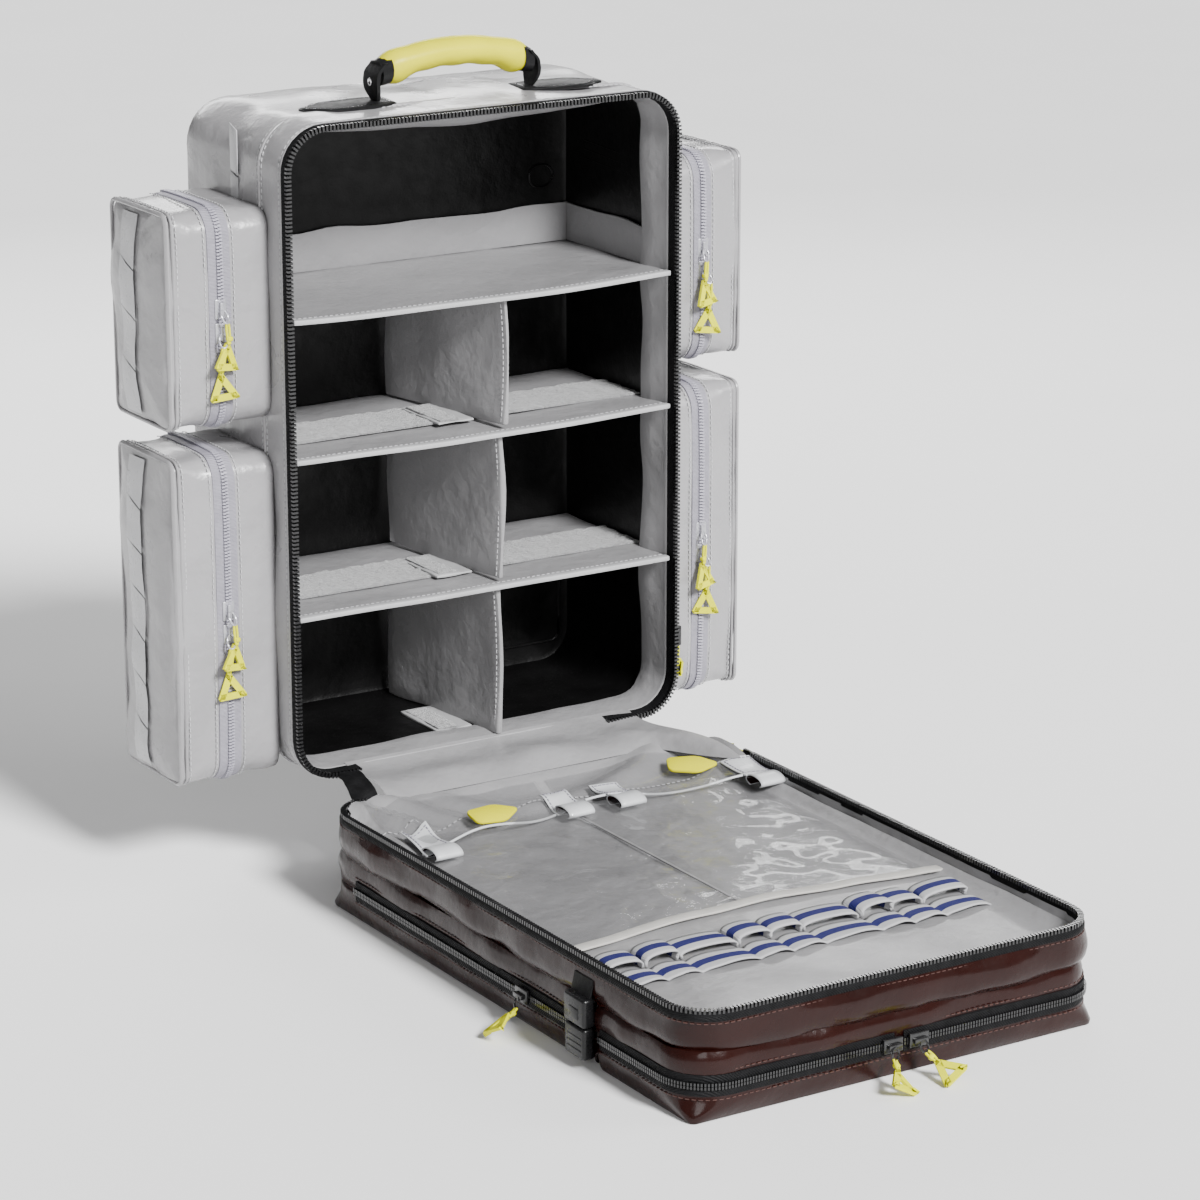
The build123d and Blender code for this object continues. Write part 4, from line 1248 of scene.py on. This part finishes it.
def clear_flaps():
    """Clear flaps over the pouches' mouths, with their stitched tabs, folded loops and neon grips."""
    for side, sign in (("left", -1), ("right", 1)):
        low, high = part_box(side + "_clear_flap")
        body = side + "_pouch_flap"
        low.x, high.x = low.x + 0.008, high.x + 0.008

        def drape(co):
            t = (high.y - co.y) / (high.y - low.y)
            u = (co.x - low.x) / (high.x - low.x)
            reach = 0.036 * (1 - u) if sign < 0 else 0.003 + 0.026 * u * u
            lift = t * t * (0.005 + 0.004 * sin(2.2 * pi * u + sign)) + 0.0015 * noise.noise(co / 0.04)
            co.y -= reach * t
            co.z += lid_floor_height(co.x, co.y) + PANEL_TOP + 0.003 - low.z + lift
            return co

        bm = flat_grid(Vector((low.x, low.y, low.z)), Vector((high.x, high.y, low.z)), 0.005)
        shape(bm, drape)
        piece = new_piece(side + "_flap_film", bm, FILM, body, [side + "_clear_flap"])
        line = [Vector((low.x + (high.x - low.x) * i / 40, low.y, low.z + 0.0006)) for i in range(41)]
        edge = bmesh.new()
        cord_tube(edge, [drape(p) for p in line], 0.0011, 8)
        curl = new_piece(side + "_flap_curled_edge", edge, SHEEN_TAB, body)

        bm = bmesh.new()
        made = bmesh.ops.create_circle(bm, cap_ends=True, segments=5, radius=1)
        spots = ((-0.021, 0.009), (-0.018, -0.011), (0.008, -0.013), (0.026, 0.002), (0.006, 0.013))
        for vert, (x, y) in zip(made["verts"], spots):
            vert.co = Vector((x, y, 0))
        bmesh.ops.bevel(bm, geom=bm.verts[:], offset=0.005, segments=4, profile=0.5, affect="VERTICES",
                        material=-1)
        face = next(iter(bm.faces))
        solid = bmesh.ops.extrude_face_region(bm, geom=[face])["geom"]
        raised = [g for g in solid if isinstance(g, bmesh.types.BMVert)]
        bmesh.ops.translate(bm, verts=raised, vec=(0, 0, 0.0028))
        rims = [e for e in bm.edges if e.calc_face_angle(0) > 0.8]
        bmesh.ops.bevel(bm, geom=rims, offset=0.0009, segments=2, profile=0.5, affect="EDGES", material=-1)
        spot = drape(Vector((-0.075 if sign < 0 else 0.138, low.y + (0.016 if sign < 0 else 0.034), low.z)))
        turn = Matrix.Rotation(radians(-6 if sign < 0 else -34), 4, "Z")
        turn = turn @ Matrix.Rotation(radians(14), 4, "X")
        bmesh.ops.transform(bm, matrix=Matrix.Translation(spot + Z * 0.006) @ turn, verts=bm.verts[:])
        new_piece(side + "_neon_tab", bm, NEON, body)

        outer, inner = (low.x + 0.014, high.x - 0.006) if sign < 0 else (high.x - 0.006, low.x + 0.034)
        for place, x in (("outer", outer), ("inner", inner)):
            corner = Vector((x, low.y, low.z))
            bm = board(corner + Vector((-0.014, -0.004, 0.0008)),
                       corner + Vector((0.014, 0.026, 0.0020)), 0.004, 0.0005)
            shape(bm, drape)
            new_piece(side + "_" + place + "_flap_tab", bm, SHEEN_TAB, body)
            loop = []
            for k in range(17):
                a = -0.35 * pi + 1.6 * pi * k / 16
                loop.append((0.0125 * cos(a), 0.0052 * sin(a)))
            bm = bmesh.new()
            base = drape(corner.copy())
            base.z = max(base.z, PANEL_TOP + 0.011)
            rows = []
            for i in range(7):
                x_i = corner.x - 0.0125 + 0.025 * i / 6
                rows.append([Vector((x_i, base.y - 0.011 + dy, base.z - 0.0015 + dz)) for dy, dz in loop])
            wall(bm, rows, False)
            thicken(new_piece(side + "_" + place + "_tab_loop", bm, SHEEN_TAB, body), 0.001)
            bm = bmesh.new()
            rows = [[p + (middle - p) * 0.16 for p in row] for row, middle in
                    ((row, sum(row, Vector()) / len(row)) for row in rows)]
            wall(bm, rows, False)
            new_piece(side + "_" + place + "_loop_inside", bm, BROWN, body)
            bm = bmesh.new()
            square = [corner + Vector(d) for d in ((-0.0115, 0.0005, 0.0022), (0.0115, 0.0005, 0.0022),
                                                   (0.0115, 0.0235, 0.0022), (-0.0115, 0.0235, 0.0022))]
            ends = square[1:] + square[:1]
            ring = [a.lerp(b, i / 6) for a, b in zip(square, ends) for i in range(6)]
            dashes(bm, spaced([drape(p) for p in ring], 0.004, Z), (0.0026, 0.0009, 0.0009))
            new_piece(side + "_" + place + "_tab_stitching", bm, GREY_ZIP, body)


LOOP_WIDTHS = (0.031, 0.031, 0.054, 0.031, 0.031, 0.054, 0.031, 0.031, 0.044)


def elastic_loops():
    low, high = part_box("elastic_loops")
    band_y = (low.y, low.y + 0.026)
    loop_y = (high.y - 0.026, high.y)
    half = 0.0045
    blue = (0.010, 0.012, 0.12)
    tape = finish("elastic_tape", (0.48, 0.48, 0.49), 0.05, 60, (0.6, 0.75),
                  [("Wave-X", 420, 0.0003), ("Noise", 900, 0.0002)],
                  stripe=(blue, (sum(band_y) / 2, sum(loop_y) / 2), half))
    bm = bmesh.new()
    left = -sum(LOOP_WIDTHS) / 2
    tall = high.z - PANEL_TOP
    for i, width in enumerate(LOOP_WIDTHS):
        line = []
        rise = tall * (0.9 + 0.1 * sin(i * 2.3))
        tilt = 0.005 * sin(i * 2.9 + 0.8)
        for k in range(25):
            t = k / 24
            out = 1 - (2 * t - 1) ** 2
            x = left + 0.0009 + (width - 0.0018) * (0.5 - 0.5 * cos(t * pi))
            belly = 0.0022 * sin(2 * pi * t) + tilt * out
            line.append((x - belly, PANEL_TOP + 0.0016 + (rise - 0.003) * out ** 0.62))
        rows = []
        for j in range(9):
            v = j / 8
            y = loop_y[0] + (loop_y[1] - loop_y[0]) * v
            lean = 0.0025 * sin(i * 1.7 + 0.6)
            cup = 0.0008 * (2 * v - 1) ** 2
            rows.append([
                Vector((x + lean * (v - 0.5), y, z - cup * smooth_step(z, PANEL_TOP, PANEL_TOP + 0.01)))
                for x, z in line])
        wall(bm, rows, False)
        left += width
    piece = new_piece("elastic_loop_row", bm, tape, "lid", ["elastic_loops"], 60)
    thicken(piece, 0.0014)

    bm = bmesh.new()
    rows = []
    for j in range(9):
        y = band_y[0] + (band_y[1] - band_y[0]) * j / 8
        row = []
        left = -sum(LOOP_WIDTHS) / 2
        for width in LOOP_WIDTHS:
            for k in range(10):
                t = k / 10
                puff = 0.0032 * (4 * t * (1 - t)) ** 0.6
                sway = 0.0012 * sin(2 * pi * t) * (j / 4 - 1)
                row.append(Vector((left + width * t, y + sway, PANEL_TOP + 0.0026 + puff)))
            left += width
        row.append(Vector((left, y, PANEL_TOP + 0.0026)))
        rows.append(row)
    wall(bm, rows, False)
    thicken(new_piece("elastic_flat_band", bm, tape, "lid", [], 60), 0.0012)


def buckles():
    low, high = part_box("compression_straps")
    sock_low, sock_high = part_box("buckle_sockets")
    outer = sock_high.x
    for side, sign in (("left", -1), ("right", 1)):
        bm = bmesh.new()
        rows = []
        for i in range(12):
            t = i / 11
            z = sock_high.z - 0.004 + (high.z + 0.004 - sock_high.z) * t
            out = 0.0042 * (1 - t) + 0.0006
            rows.append([Vector((sign * (HALF_W + out + dx), y, z)) for dx, y in (
                (0, low.y), (0.0018, low.y), (0.0022, (low.y + high.y) / 2), (0.0018, high.y), (0, high.y))])
        wall(bm, rows)
        bmesh.ops.holes_fill(bm, edges=bm.edges[:], sides=8)
        new_piece(side + "_strap_web", bm, WEBBING, "lid",
                  ["compression_straps"] if sign < 0 else [])
        middle = Vector((sign * (outer + HALF_W + 0.0005) / 2, (sock_low.y + sock_high.y) / 2, 0))
        bm = bmesh.new()
        width_x = outer - HALF_W - 0.0005
        wide = sock_high.y - sock_low.y
        turn = Matrix.Translation(middle + Z * (sock_low.z + sock_high.z) / 2)
        rounded_block(bm, (width_x, wide, sock_high.z - sock_low.z), turn, 0.0028, 3)
        raised = turn @ Matrix.Translation((sign * width_x * 0.36, 0, -0.002))
        rounded_block(bm, (width_x * 0.45, wide * 0.5, 0.010), raised, 0.0016)
        new_piece(side + "_buckle_socket", bm, PLASTIC, "lid",
                  ["buckle_sockets"] if sign < 0 else [])
        plug_low, plug_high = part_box(side + "_buckle_plug")
        bm = bmesh.new()
        top = sock_low.z - 0.0005
        turn = Matrix.Translation(middle + Z * (plug_low.z + top) / 2)
        rounded_block(bm, (width_x * 0.9, wide * 0.94, top - plug_low.z), turn, 0.0026, 3)
        for y in (-1, 1):
            prong = Matrix.Translation(middle + Vector((0, y * wide * 0.27, (top + plug_high.z) / 2)))
            rounded_block(bm, (width_x * 0.35, 0.0045, plug_high.z - top), prong, 0.001)
        for k in range(3):
            rib = turn @ Matrix.Translation((sign * width_x * 0.43, 0, -0.006 + k * 0.005))
            rounded_block(bm, (0.0016, wide * 0.7, 0.0018), rib, 0.0006)
        new_piece(side + "_buckle_plug_body", bm, PLASTIC, side + "_buckle",
                  [side + "_buckle_plug"])


def lid_sliders():
    for side, sign in (("left", -1), ("right", 1)):
        name = "far_pocket_" + side + "_slider"
        x = sign * 0.012
        surface = Vector((x, FAR_EDGE_Y - 0.0022, SPLIT_Z))
        ring_end = Vector((x + sign * 0.003, FAR_EDGE_Y - 0.0115, SPLIT_Z - 0.009))
        start = Vector((x + sign * 0.0045, FAR_EDGE_Y - 0.016, SPLIT_Z - 0.012))
        hang = Vector((sign * 0.35, -1.2, -0.02)) * 0.5 + Vector((0, 0, -0.20))
        slider(name, "far_pocket_" + side + "_zip_slider", BLACK_METAL, surface, -Y, X,
               (0.012, 0.007, 0.018), ring_end, start, hang, X + Z * 0.5 * sign)
    name = "hinge_pocket_slider"
    low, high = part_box(name)
    y = (low.y + high.y) / 2
    surface = Vector((-HALF_W - 0.0022, y, SPLIT_Z))
    ring_end = Vector((-HALF_W - 0.0115, y - 0.003, SPLIT_Z - 0.009))
    start = Vector((-HALF_W - 0.016, y - 0.0045, SPLIT_Z - 0.012))
    slider(name, "hinge_pocket_zip_slider", BLACK_METAL, surface, -X, Y, (0.012, 0.007, 0.018),
           ring_end, start, Vector((-0.6, -0.25, -0.22)), Y - Z * 0.4)
    for name, body, outward, along in (("main_zip_body_slider", "main_zip_slider_on_body", X, Z),
                                       ("main_zip_lid_slider", "main_zip_slider_on_lid", X, Y)):
        low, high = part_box(name)
        if name == "main_zip_body_slider":
            surface = Vector((HALF_W, (low.y + high.y) / 2, high.z - 0.010))
            down = -Z
        else:
            surface = Vector((HALF_W, low.y + 0.010, (low.z + high.z) / 2))
            down = Y
        bm = bmesh.new()
        side = outward.cross(along)
        turned = Matrix((side, along, outward)).transposed().to_4x4()
        turn = Matrix.Translation(surface + outward * 0.0022) @ turned
        rounded_block(bm, (0.0095, 0.018, 0.0034), turn, 0.001)
        rounded_block(bm, (0.0035, 0.012, 0.0024), turn @ Matrix.Translation((0, 0, 0.002)), 0.0008)
        new_piece(name + "_metal", bm, BLACK_METAL, body, [name])
        bm = bmesh.new()
        start = surface + outward * 0.0032 + down * 0.008
        bend = start + outward * 0.001 + down * 0.006
        cord_tube(bm, arc_points(start, bend, start + down * 0.013, 5), 0.0011, 8)
        pull_tab(bm, aimed(start + down * 0.012, side, down), 0.019, 0.0085, 0.002)
        new_piece(name + "_pull", bm, PALE_NEON, body)


lid_shell()
zip_edge("lid_zip", lambda inset, reach: lid_ring(inset, RIM_Z + 0.0003 - reach), "lid",
         "main_zip_lid_side", Z, ZIP_SHOWS + 0.001,
         lambda p: p.y > HINGE_EDGE_Y - (0.004 if p.x < 0 else 0.074) and p.x > -0.145)
lid_lining()
gusset()
clear_pouches()
clear_flaps()
elastic_loops()
buckles()
lid_sliders()


# ---------------------------------------------------------------- the back

def pad(name, node, body, sections):
    """A stitched foam pad in a CAD pad's place, crowned between its seams."""
    low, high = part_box(node)
    bm = board(low + Vector((0.001, 0, 0.001)), high - Vector((0.001, 0.0004, 0.001)), 0.012, 0.004)
    width, tall = high.x - low.x, high.z - low.z
    middle = (low + high) / 2
    deep = high.y - low.y

    def crown(co):
        u, v = 2 * (co.x - middle.x) / width, 2 * (co.z - middle.z) / tall
        corner = max(0, abs(u) - 0.6) * max(0, abs(v) - 0.6)
        co.x -= u * corner * width * 0.25
        co.z -= v * corner * tall * 0.10
        out = smooth_step(co.y, low.y + 0.003, high.y)
        edge = (1 - abs(u) ** 6) * (1 - abs(v) ** 8)
        seam = min(abs(v - s) * tall / 2 for s in sections) if sections else 1
        co.y -= out * deep * (0.45 * (1 - edge) + 0.4 * (1 - smooth_step(seam, 0.0, 0.008)))
        return co

    shape(bm, crown)
    piece = new_piece(name, bm, PADDING, body, [node], 60)
    soften(piece)


pad("back_padding", "back_pad", "pack_body", (-0.5, 0.0, 0.5))
pad("hip_belt_padding", "hip_belt_pad", "pack_body", ())
for strap_side in ("left", "right"):
    pad(strap_side + "_shoulder_padding", strap_side + "_shoulder_strap", strap_side + "_strap", (-0.6, 0.6))
    pad(strap_side + "_fin_padding", strap_side + "_hip_fin", strap_side + "_fin", ())
